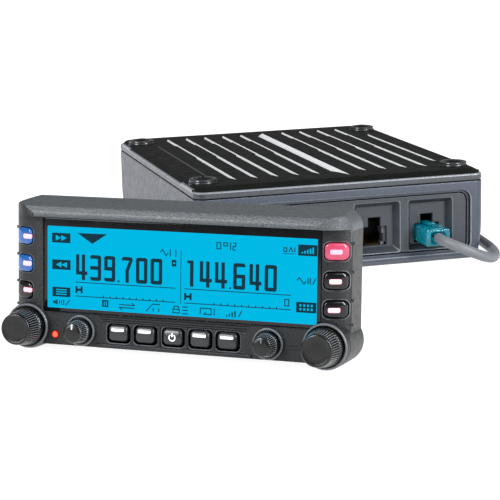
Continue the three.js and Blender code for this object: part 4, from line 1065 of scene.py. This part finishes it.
def ink_fine():
    """Thin lines, ticks and small generic icons."""
    p = []
    for x0, x1, z in ((-40.9, 0.5, 24.75), (4.1, 46.5, 24.75)):
        p.append(rect(x0, x1, z - 0.17, z + 0.17))
    for x0, x1, z in ((-41.0, 0.5, 19.35), (4.2, 46.5, 19.35)):
        p.append(rect(x0, x1, z - 0.17, z + 0.17))
    for x0 in (-29.2, 16.2):
        for k in range(10):
            p.append([(x0 + 2.75 * k - 0.35, 19.4), (x0 + 2.75 * k + 0.35, 19.4), (x0 + 2.75 * k + 0.1, 20.25), (x0 + 2.75 * k - 0.1, 20.25)])
    p.append(rect(2.55, 2.8, 18.9, 39.2))
    w = 0.42

    def ring(x0, x1, z0, z1):
        return [rect(x0, x1, z0, z0 + w), rect(x0, x1, z1 - w, z1), rect(x0, x0 + w, z0, z1), rect(x1 - w, x1, z0, z1)]

    def line(*q):
        return [bar(q[i][0], q[i][1], q[i + 1][0], q[i + 1][1], w) for i in range(len(q) - 1)]
    # speaker icon under the third label
    x, z = -50.6, 15.4
    p += [rect(x, x + 0.9, z + 0.6, z + 1.6), [(x + 0.9, z + 0.6), (x + 2.0, z), (x + 2.0, z + 2.3), (x + 0.9, z + 1.6)]]
    p += line((x + 2.8, z + 0.5), (x + 2.8, z + 1.8)) + line((x + 3.7, z + 0.2), (x + 3.7, z + 2.1)) + line((x + 4.6, z), (x + 4.6, z + 2.3)) + line((x + 5.5, z + 0.1), (x + 7.2, z + 2.2))
    # wave with a bar, above the left reading
    p += line((-5.7, 38.1), (-4.9, 39.3), (-4.1, 38.1), (-3.3, 36.9), (-2.5, 38.1)) + line((-1.7, 39.4), (-1.7, 36.7)) + line((0.6, 39.4), (0.6, 36.7))
    # bottom row of soft keys: swap arrows, level, padlock, turn, power bars
    x, z = -22.6, 15.2
    p += line((x, z + 1.9), (x + 6.4, z + 1.9)) + line((x + 5.2, z + 2.8), (x + 6.5, z + 1.9)) + line((x, z + 0.8), (x + 6.4, z + 0.8)) + line((x, z + 0.8), (x + 1.3, z - 0.1))
    x = -11.4
    p += line((x, z), (x + 2.6, z + 2.9), (x + 5.6, z + 2.9)) + line((x + 2.9, z), (x + 2.9, z + 1.4)) + line((x + 5.2, z), (x + 5.2, z + 1.4))
    x = -0.6
    p += ring(x, x + 3.0, z, z + 1.7) + line((x + 0.6, z + 1.6), (x + 0.6, z + 2.7), (x + 2.4, z + 2.7), (x + 2.4, z + 1.6)) + line((x + 4.0, z), (x + 6.2, z)) + line((x + 4.0, z + 1.3), (x + 6.2, z + 1.3)) + line((x + 4.0, z + 2.6), (x + 6.2, z + 2.6))
    x = 10.7
    p += line((x, z + 0.3), (x, z + 2.6), (x + 4.4, z + 2.6), (x + 4.4, z + 0.3), (x + 1.4, z + 0.3)) + line((x + 1.4, z + 0.3), (x + 2.3, z + 1.1)) + line((x + 5.6, z), (x + 5.6, z + 2.8))
    x = 21.0
    p += [rect(x + 1.1 * k, x + 1.1 * k + 0.6, z, z + 0.7 + 0.55 * k) for k in range(4)] + line((x + 5.0, z + 0.1), (x + 6.4, z + 2.7))
    # memory marker above the right reading: two boxes and two strokes
    x, z = 16.9, 40.4
    p += ring(x, x + 1.9, z, z + 2.8) + ring(x + 2.7, x + 4.6, z + 1.2, z + 2.8) + line((x + 5.6, z), (x + 5.6, z + 2.8)) + line((x + 6.6, z + 2.7), (x + 7.7, z + 2.7), (x + 7.7, z + 1.4), (x + 6.6, z + 1.4), (x + 6.6, z), (x + 7.8, z))
    # underlined position icon
    x, z = 43.2, 40.8
    p += ring(x, x + 1.6, z, z + 1.7) + line((x + 2.2, z), (x + 3.0, z + 1.8), (x + 3.7, z)) + line((x + 4.5, z), (x + 4.5, z + 1.8)) + [rect(43.0, 48.0, 40.05, 40.3)]
    # band icon: two waves
    x, z = 48.7, 30.4
    p += line((x, z), (x + 0.9, z + 1.2), (x + 1.8, z), (x + 2.7, z - 1.2), (x + 3.6, z)) + line((x + 4.3, z - 1.2), (x + 4.3, z + 1.2)) + line((x + 5.2, z - 1.2), (x + 5.2, z + 1.2)) + line((x + 6.1, z - 1.2), (x + 7.3, z + 1.2))
    # half-open box mark
    p += ring(43.9, 45.9, 20.5, 23.3)
    return p


seg = merge([paint(flat(ink_dark(), "y", 0.60, 0.655), ["ink"]), paint(flat(ink_fine(), "y", 0.61, 0.655), ["ink_soft"])])
piece(seg, "display_segments", HEAD, slot="display_blue", wn=False, ang=30)


# ------------------------------------------------------------------ lamp
def lamp():
    a = paint(lathe("y", -49.4, 3.9, [(1.1, 2.6), (1.1, 0.1), (1.0, -0.15), (0.75, -0.42), (0.4, -0.55), (0.01, -0.6)], 28), ["led"])
    r = paint(lathe("y", -49.4, 3.9, [(1.45, 2.4), (1.45, 0.15), (1.38, -0.02), (1.22, -0.06), (1.14, 0.05), (1.14, 2.4)], 28), ["led_rim"])
    b = paint(cyl("y", -49.4, 3.9, 2.6, 4.0, 1.6, 24, f0=0.1, f1=0.1), ["black"])
    return merge([a, r, b])


def lathe_ring(axis, cx, cz, prof, n=64):
    """Closed ring profile turned about an axis."""
    m = len(prof)
    verts = []
    for i in range(n):
        a = TAU * i / n
        verts += [at(axis, [(cx + r * math.cos(a), cz + r * math.sin(a))], t)[0] for r, t in prof]
    faces = [(i * m + k, i * m + (k + 1) % m, ((i + 1) % n) * m + (k + 1) % m, ((i + 1) % n) * m + k) for i in range(n) for k in range(m)]
    return obj_from(verts, faces)


piece(lamp(), "status_lamp", HEAD, replaces=["status_led"], slot="lamp_red", wn=False, ang=40)


# ------------------------------------------------------------------ knobs
def smooth(a, b, x):
    t = min(1, max(0, (x - a) / (b - a)))
    return t * t * (3 - 2 * t)


def knob(cx, cz, prof, ribs, y0, y1, amp, per=6):
    """Turned knob with axial ribs between y0 (front) and y1."""
    fine = []
    for (r0_, a), (r1_, b) in zip(prof, prof[1:]):
        k = max(1, int(abs(b - a) / 0.5)) if r0_ > 2.5 and r1_ > 2.5 and abs(b - a) > 0.5 and a > -20 and b > a else 1
        fine += [(r0_ + (r1_ - r0_) * i / k, a + (b - a) * i / k) for i in range(k)]
    fine.append(prof[-1])
    widest = max(r for r, _ in prof)

    def mod(i, r, t):
        if r < 0.72 * widest:
            return r
        w = smooth(y0 - 0.25, y0 + 0.5, t) * (1 - smooth(y1 - 0.5, y1, t))
        return r - amp * w * (0.5 - 0.5 * math.cos(TAU * i / per)) if w > 0 else r
    return lathe("y", cx, cz, fine, ribs * per, mod)


for side, s in (("left", -1), ("right", 1)):
    kx, px = s * KX, s * PX
    a = knob(kx, KZ, [(0.01, -12.1), (3.0, -12.08), (4.7, -12.02), (5.1, -12.1), (5.45, -12.22), (5.8, -12.1), (6.05, -11.75), (6.2, -11.2), (7.0, -4.6), (7.26, -4.35), (7.34, -4.0), (7.36, -1.1), (7.28, -0.75), (7.1, -0.6), (3.3, -0.6), (3.3, -9.0), (0.01, -9.0)], 44, -11.3, -4.7, 0.5)
    # the rib crests get the lighter rib colour as a painted highlight
    paint(a, ["knob", "knob_rib_highlight"], lambda c, n, q=kx: 1 if -11.2 < c.y < -4.9 and math.hypot(c.x - q, c.z - KZ) > 6.2 + (c.y + 11.2) * 0.8 / 6.6 - 0.17 else 0)
    piece(a, f"dial_knob_{side}_body", HEAD, body=f"dial_knob_{side}", replaces=[f"dial_knob_{side}"], slot="knob_black", ang=40, wn=False)
    a = knob(px, PZ, [(0.01, -8.78), (2.2, -8.74), (3.15, -8.62), (3.55, -8.42), (3.74, -8.1), (4.42, -3.4), (4.66, -3.15), (4.72, -2.8), (4.74, -0.95), (4.66, -0.7), (4.5, -0.6), (2.7, -0.6), (2.7, -6.3), (0.01, -6.3)], 32, -8.0, -3.4, 0.4)
    paint(a, ["knob", "knob_rib_highlight"], lambda c, n, q=px: 1 if -8.0 < c.y < -3.5 and math.hypot(c.x - q, c.z - PZ) > 3.74 + (c.y + 8.1) * 0.68 / 4.7 - 0.14 else 0)
    tip = paint(rbox("y", px - 0.24, px + 0.24, PZ + 1.5, PZ + 3.45, 0.2, -8.86, -8.2, f0=0.08, n=3), ["pointer" if s < 0 else "ledge"])
    a = merge([a, tip])
    piece(a, f"volume_knob_{side}_body", HEAD, body=f"volume_knob_{side}", replaces=[f"volume_knob_{side}"], slot="knob_black", ang=40, wn=False)


# ------------------------------------------------------------------ side keys
def key_y(x):
    return along(KEYFRONT, x)


def side_key(s, z, bar_x, bar_z):
    cx = SKX
    w, h, r = 4.0, 3.15, 1.9
    loops = []
    for d, off, back in ((0.0, 0, 7.9), (0.0, 0.95, None), (0.05, 0.6, None), (0.18, 0.34, None), (0.42, 0.15, None), (0.8, 0.04, None), (1.4, 0.0, None), (2.1, -0.04, None), (2.8, -0.06, None)):
        pts = rr(cx - w + d, cx + w - d, z - h + d, z + h - d, max(r - d * 0.6, 0.25), 6)
        loops.append([(s * x, (back if back is not None else key_y(x) + off), zz) for x, zz in pts])
    a = loft(loops)
    b = []
    b = loft([[(s * x, key_y(x) + 0.5, bar_z - hh), (s * x, key_y(x) - 0.16, bar_z - hh), (s * x, key_y(x) - 0.22, bar_z - hh * 0.8), (s * x, key_y(x) - 0.22, bar_z + hh * 0.8), (s * x, key_y(x) - 0.16, bar_z + hh), (s * x, key_y(x) + 0.5, bar_z + hh)]
              for x, hh in ((bar_x + 2.05 * q, 0.88 * min(1.0, (1 - abs(q)) * 4 + 0.35) ** 0.5) for q in (-1, -0.93, -0.8, -0.5, -0.25, 0, 0.25, 0.5, 0.8, 0.93, 1))])
    # thin raised frame of the pocket, in the lighter edge colour as a painted highlight
    o, q = rr(SKX - 4.75, SKX + 4.62, z - 3.85, z + 3.85, 2.4, 6), rr(SKX - 4.4, SKX + 4.3, z - 3.5, z + 3.5, 2.1, 6)
    m = len(o)
    verts, faces = [], []
    for (xo, zo), (xi, zi) in zip(o, q):
        verts += [(s * xo, shoulder_y(xo) + 0.5, zo), (s * xo, shoulder_y(xo) - 0.05, zo), (s * (xo + xi) / 2, shoulder_y((xo + xi) / 2) - 0.2, (zo + zi) / 2), (s * xi, shoulder_y(xi) - 0.05, zi), (s * xi, shoulder_y(xi) + 0.5, zi)]
    for k in range(m):
        for t in range(5):
            faces.append((k * 5 + t, k * 5 + (t + 1) % 5, ((k + 1) % m) * 5 + (t + 1) % 5, ((k + 1) % m) * 5 + t))
    return a, b, obj_from(verts, faces)


KEYS = {"left": (("blue", "bar_pink", 61.4, 41.6), ("blue", "bar_pink", 61.6, 31.0), ("gloss", "bar_pink", 61.4, 20.6)),
        "right": (("pink", "bar_rose", 63.5, 41.6), ("gloss", "bar_pink", 63.4, 30.7), ("gloss", "bar_pink", 63.1, 20.1))}
SLOTS = {"blue": "key_blue", "gloss": "key_black", "pink": "key_red"}
for side, s in (("left", -1), ("right", 1)):
    for i, (mat, bmat, bx, bz) in enumerate(KEYS[side]):
        a, b, frm = side_key(s, SKZ[i], bx, bz)
        piece(paint(frm, ["head_edge_highlight"]), f"key_frame_{side}_{i + 1}", HEAD, slot="head_case", ang=60, wn=False)
        a = merge([paint(a, [mat]), paint(b, [bmat])])
        piece(a, f"side_key_{side}_{i + 1}_cap", HEAD, body=f"side_key_{side}_{i + 1}", replaces=[f"side_key_{side}_{i + 1}"], slot=SLOTS[mat], ang=50, wn=False)


# ------------------------------------------------------------------ lower keys
def low_key(x, power):
    w, h = (3.8, 3.2)
    z = LKZ

    def yf(zz):
        q = (zz - z) / h
        return -1.15 + 0.85 * q * q
    loops = []
    for d, off, back in ((0, 0, 3.2), (0, 0.85, None), (0.08, 0.5, None), (0.28, 0.2, None), (0.6, 0.05, None), (1.1, 0.0, None), (1.8, 0.0, None), (2.6, 0.0, None), (2.95, 0.0, None)):
        pts = rr(x - w + d, x + w - d, z - h + d, z + h - d, max(1.5 - d * 0.6, 0.15), 6)
        loops.append([(a, back if back is not None else yf(b) + off, b) for a, b in pts])
    cap = paint(loft(loops), ["key_grey"])
    skirt = paint(rbox("y", x - w - 0.9, x + w + 0.9, z - 2.6, z + h + 0.5, 0.8, 2.9, 3.9, f0=0.1, n=3), ["black"])
    if power:
        polys = []
        n, r0_, r1_ = 22, 1.02, 1.4
        cz = z - 0.1
        for i in range(n):
            a0, a1 = math.radians(125 + 290 * i / n), math.radians(125 + 290 * (i + 1) / n)
            polys.append([(x + r * math.cos(a), cz + r * math.sin(a)) for r, a in ((r0_, a0), (r1_, a0), (r1_, a1), (r0_, a1))])
        polys.append(rect(x - 0.2, x + 0.2, cz + 0.35, cz + 1.75))
        m = flat(polys, "y", 0.0, 0.25)
        for v in m.data.vertices:
            v.co.y = yf(v.co.z) + (0.1 if v.co.y > 0.1 else -0.05)
        mark = paint(m, ["white"])
    else:
        pts = rr(x - 2.6, x + 2.6, z + 0.85, z + 1.75, 0.35, 4)
        mark = paint(loft([[(a, yf(b) + o, b) for a, b in pts] for o in (0.3, -0.07)]), ["white"])
    return merge([cap, skirt, mark])


for i, x in enumerate(LKX):
    name = "power_key" if i == 2 else f"lower_key_{i + 1 if i < 2 else i}"
    piece(low_key(x, i == 2), name + "_cap", HEAD, body=name, replaces=[name], slot="key_black", ang=50, wn=False)


# ------------------------------------------------------------------ rear of the main unit
def aerial_socket():
    fl = rbox("y", 39, 61, 9, 31, 2, Y + 0.3, Y + 2.3, f0=0.15, f1=0.35, n=5)
    fl = cutall(fl, [cyl("y", 50 + sx * 8.4, 20 + sz * 8.4, Y - 1, Y + 4, 1.45, 20) for sx in (-1, 1) for sz in (-1, 1)])
    prof = [(7.6, Y - 10), (7.6, Y + 2.0), (7.25, Y + 2.4)]
    t = Y + 2.8
    while t < Y + 13.9:
        prof += [(7.7, t), (7.7, t + 0.28), (7.28, t + 0.55), (7.28, t + 0.7)]
        t += 0.95
    prof += [(7.5, Y + 14.5), (7.15, Y + 15), (5.9, Y + 15), (5.7, Y + 14.7), (5.7, Y + 13.6)]
    brl = lathe("y", 50, 20, prof + [(2.9, Y + 13.6), (2.9, Y + 12.9), (2.3, Y + 12.9), (2.1, Y + 5.2), (0.01, Y + 5.2)], 56)
    ins = paint(lathe_ring("y", 50, 20, [(3.0, Y + 12.95), (5.6, Y + 12.95), (5.6, Y + 13.75), (5.35, Y + 13.95), (3.2, Y + 13.95), (3.0, Y + 13.75)], 40), ["pointer"])
    sc = []
    for sx in (-1, 1):
        for sz in (-1, 1):
            q = lathe("y", 50 + sx * 8.4, 20 + sz * 8.4, [(1.3, Y + 0.5), (1.3, Y + 2.35), (2.1, Y + 2.35), (2.1, Y + 2.8), (1.8, Y + 3.2), (1.0, Y + 3.45), (0.01, Y + 3.5)], 24)
            q = cut(q, box(50 + sx * 8.4 - 1.4, 50 + sx * 8.4 + 1.4, Y + 2.95, Y + 4, 20 + sz * 8.4 - 0.2, 20 + sz * 8.4 + 0.2), box(50 + sx * 8.4 - 0.2, 50 + sx * 8.4 + 0.2, Y + 2.95, Y + 4, 20 + sz * 8.4 - 1.4, 20 + sz * 8.4 + 1.4))
            sc.append(paint(q, ["screw"]))
    return merge([paint(fl, ["steel"]), paint(brl, ["steel"]), ins] + sc)


piece(aerial_socket(), "aerial_socket", MAIN, replaces=["antenna_connector"], slot="steel", ang=30, wn=False)


def supply_inlet():
    a = rbox("y", 14, 30, 13, 23, 1.2, Y - 9, Y + 7, f0=0.2, f1=0.5, n=4)
    a = join(a, rbox("y", 11.5, 32.5, 10.5, 25.5, 2, Y + 0.3, Y + 2, f0=0.1, f1=0.35, n=5))
    a = cutall(a, [rbox("y", x0, x0 + 3.6, 15, 21, 0.8, Y - 2, Y + 7.001, f1=-0.25, n=4) for x0 in (16, 24.4)])
    pins = [paint(rbox("y", x0 + 1.1, x0 + 2.5, 16, 20, 0.3, Y - 1.9, Y + 5.4, f1=0.3, n=3), ["steel"]) for x0 in (16, 24.4)]
    return merge([paint(a, ["black"])] + pins)


piece(supply_inlet(), "supply_inlet", MAIN, replaces=["dc_power_inlet"], slot="black_plastic", ang=30, wn=False)
for nm, z in (("speaker_jack", 14), ("data_jack", 26)):
    a = lathe("y", -56, z, [(3.0, Y - 9), (3.0, Y + 0.3), (4.2, Y + 0.3), (4.2, Y + 1.9), (4.05, Y + 2.3), (3.7, Y + 2.6), (2.2, Y + 2.6), (1.75, Y + 2.2), (1.75, Y - 6.9), (0.01, Y - 7)], 40)
    piece(paint(a, ["steel"]), nm + "_body", MAIN, replaces=[nm], slot="steel", ang=35, wn=False)


def guard():
    a = rbox("y", -41, -9, 4, 36, 3, Y + 0.3, Y + 1.5, f0=0.15, f1=0.3, n=5)
    a = cut(a, cyl("y", -25, 20, Y - 1, Y + 1.501, 14.4, 72, f1=-0.2))
    a = cutall(a, [cyl("y", -25 + sx * 13.2, 20 + sz * 13.2, Y - 1, Y + 3, 1.3, 20) for sx in (-1, 1) for sz in (-1, 1)])
    rings = []
    for r in (3.9, 7.4, 11.3):
        pr = [(r + 0.55 * math.cos(TAU * k / 10), Y + 0.95 + 0.5 * math.sin(TAU * k / 10)) for k in range(10)]
        rings.append(lathe_ring("y", -25, 20, pr, 64))
    spokes = [tube([Vector((-25 + 2 * math.cos(q), Y + 0.95, 20 + 2 * math.sin(q))), Vector((-25 + 14.9 * math.cos(q), Y + 0.95, 20 + 14.9 * math.sin(q)))], 0.5, 10) for q in (math.pi / 4 + k * math.pi / 2 for k in range(4))]
    hub = cyl("y", -25, 20, Y + 0.45, Y + 1.5, 2.6, 32, f0=0.1, f1=0.3)
    return merge([paint(o, ["steel"]) for o in [a, hub] + rings + spokes])


piece(guard(), "fan_guard_plate", MAIN, replaces=["fan_guard"], slot="steel", ang=35, wn=False)

# ------------------------------------------------------------------ CAD nodes that stay: soft edges and materials
KEEP = {"main_pcb": ("board", 0.15), "rf_power_module": ("metal", 0.5), "rf_shield": ("metal", 0.4), "loudspeaker": ("cone", 0.5), "fan_frame": ("black", 0.3), "fan_rotor": ("black", 0.15),
        "lcd_module": ("metal", 0.3), "head_pcb": ("board", 0.15), "head_control_jack": ("socket", 0.3), "encoder_left": ("metal", 0.3), "encoder_right": ("metal", 0.3), "volume_pot_left": ("metal", 0.3), "volume_pot_right": ("metal", 0.3)}
for n_, (mat, w) in KEEP.items():
    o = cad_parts[n_]
    if o.material_slots:
        for sl in o.material_slots:
            sl.material = M[mat]
    else:
        o.data.materials.append(M[mat])
    m = o.modifiers.new("edge", "BEVEL")
    m.width, m.segments, m.limit_method, m.angle_limit = w * 0.001, 2, "ANGLE", math.radians(40)

# ------------------------------------------------------------------ floor and light
fm = material("floor", "#9a9a9a", 0.9, 0.0, 0.0, emit="#ffffff", strength=0.93, mottle=(400, 0.01))
me = bpy.data.meshes.new("floor")
me.from_pydata([(-8, -6, -0.0002), (10, -6, -0.0002), (10, 14, -0.0002), (-8, 14, -0.0002)], [], [(0, 1, 2, 3)])
floor = bpy.data.objects.new("floor", me)
me.materials.append(fm)
SCENE.collection.objects.link(floor)

world = bpy.data.worlds.new("world")
SCENE.world = world
world.use_nodes = True
world.node_tree.nodes["Background"].inputs["Color"].default_value = (1, 1, 1, 1)
world.node_tree.nodes["Background"].inputs["Strength"].default_value = 0.25


def area(name, loc, target, size, power, color=(1, 1, 1), size_y=None):
    d = bpy.data.lights.new(name, "AREA")
    d.energy, d.size, d.color = power, size, color
    if size_y:
        d.shape, d.size_y = "RECTANGLE", size_y
    o = bpy.data.objects.new(name, d)
    SCENE.collection.objects.link(o)
    o.location = loc
    o.rotation_mode = "QUATERNION"
    o.rotation_quaternion = (Vector(target) - Vector(loc)).to_track_quat("-Z", "Y")
    return o


def sun(name, direction, strength, angle):
    d = bpy.data.lights.new(name, "SUN")
    d.energy, d.angle = strength, math.radians(angle)
    o = bpy.data.objects.new(name, d)
    SCENE.collection.objects.link(o)
    o.rotation_mode = "QUATERNION"
    o.rotation_quaternion = Vector(direction).to_track_quat("-Z", "Y")
    return o


sun("key_left", (0.9, 0.32, -0.78), 2.3, 18)
sun("front_fill", (-0.3, 0.8, -0.75), 0.8, 30)
area("right_strip", (0.75, -0.95, 0.42), (0.0, -0.06, 0.03), 0.3, 14, size_y=0.6)
area("shoulder", (0.30, -0.45, 0.40), (-0.01, -0.09, 0.05), 0.12, 1.7)
area("left_box", (-1.2, -0.5, 0.55), (0, 0, 0.03), 0.7, 9, size_y=0.7)
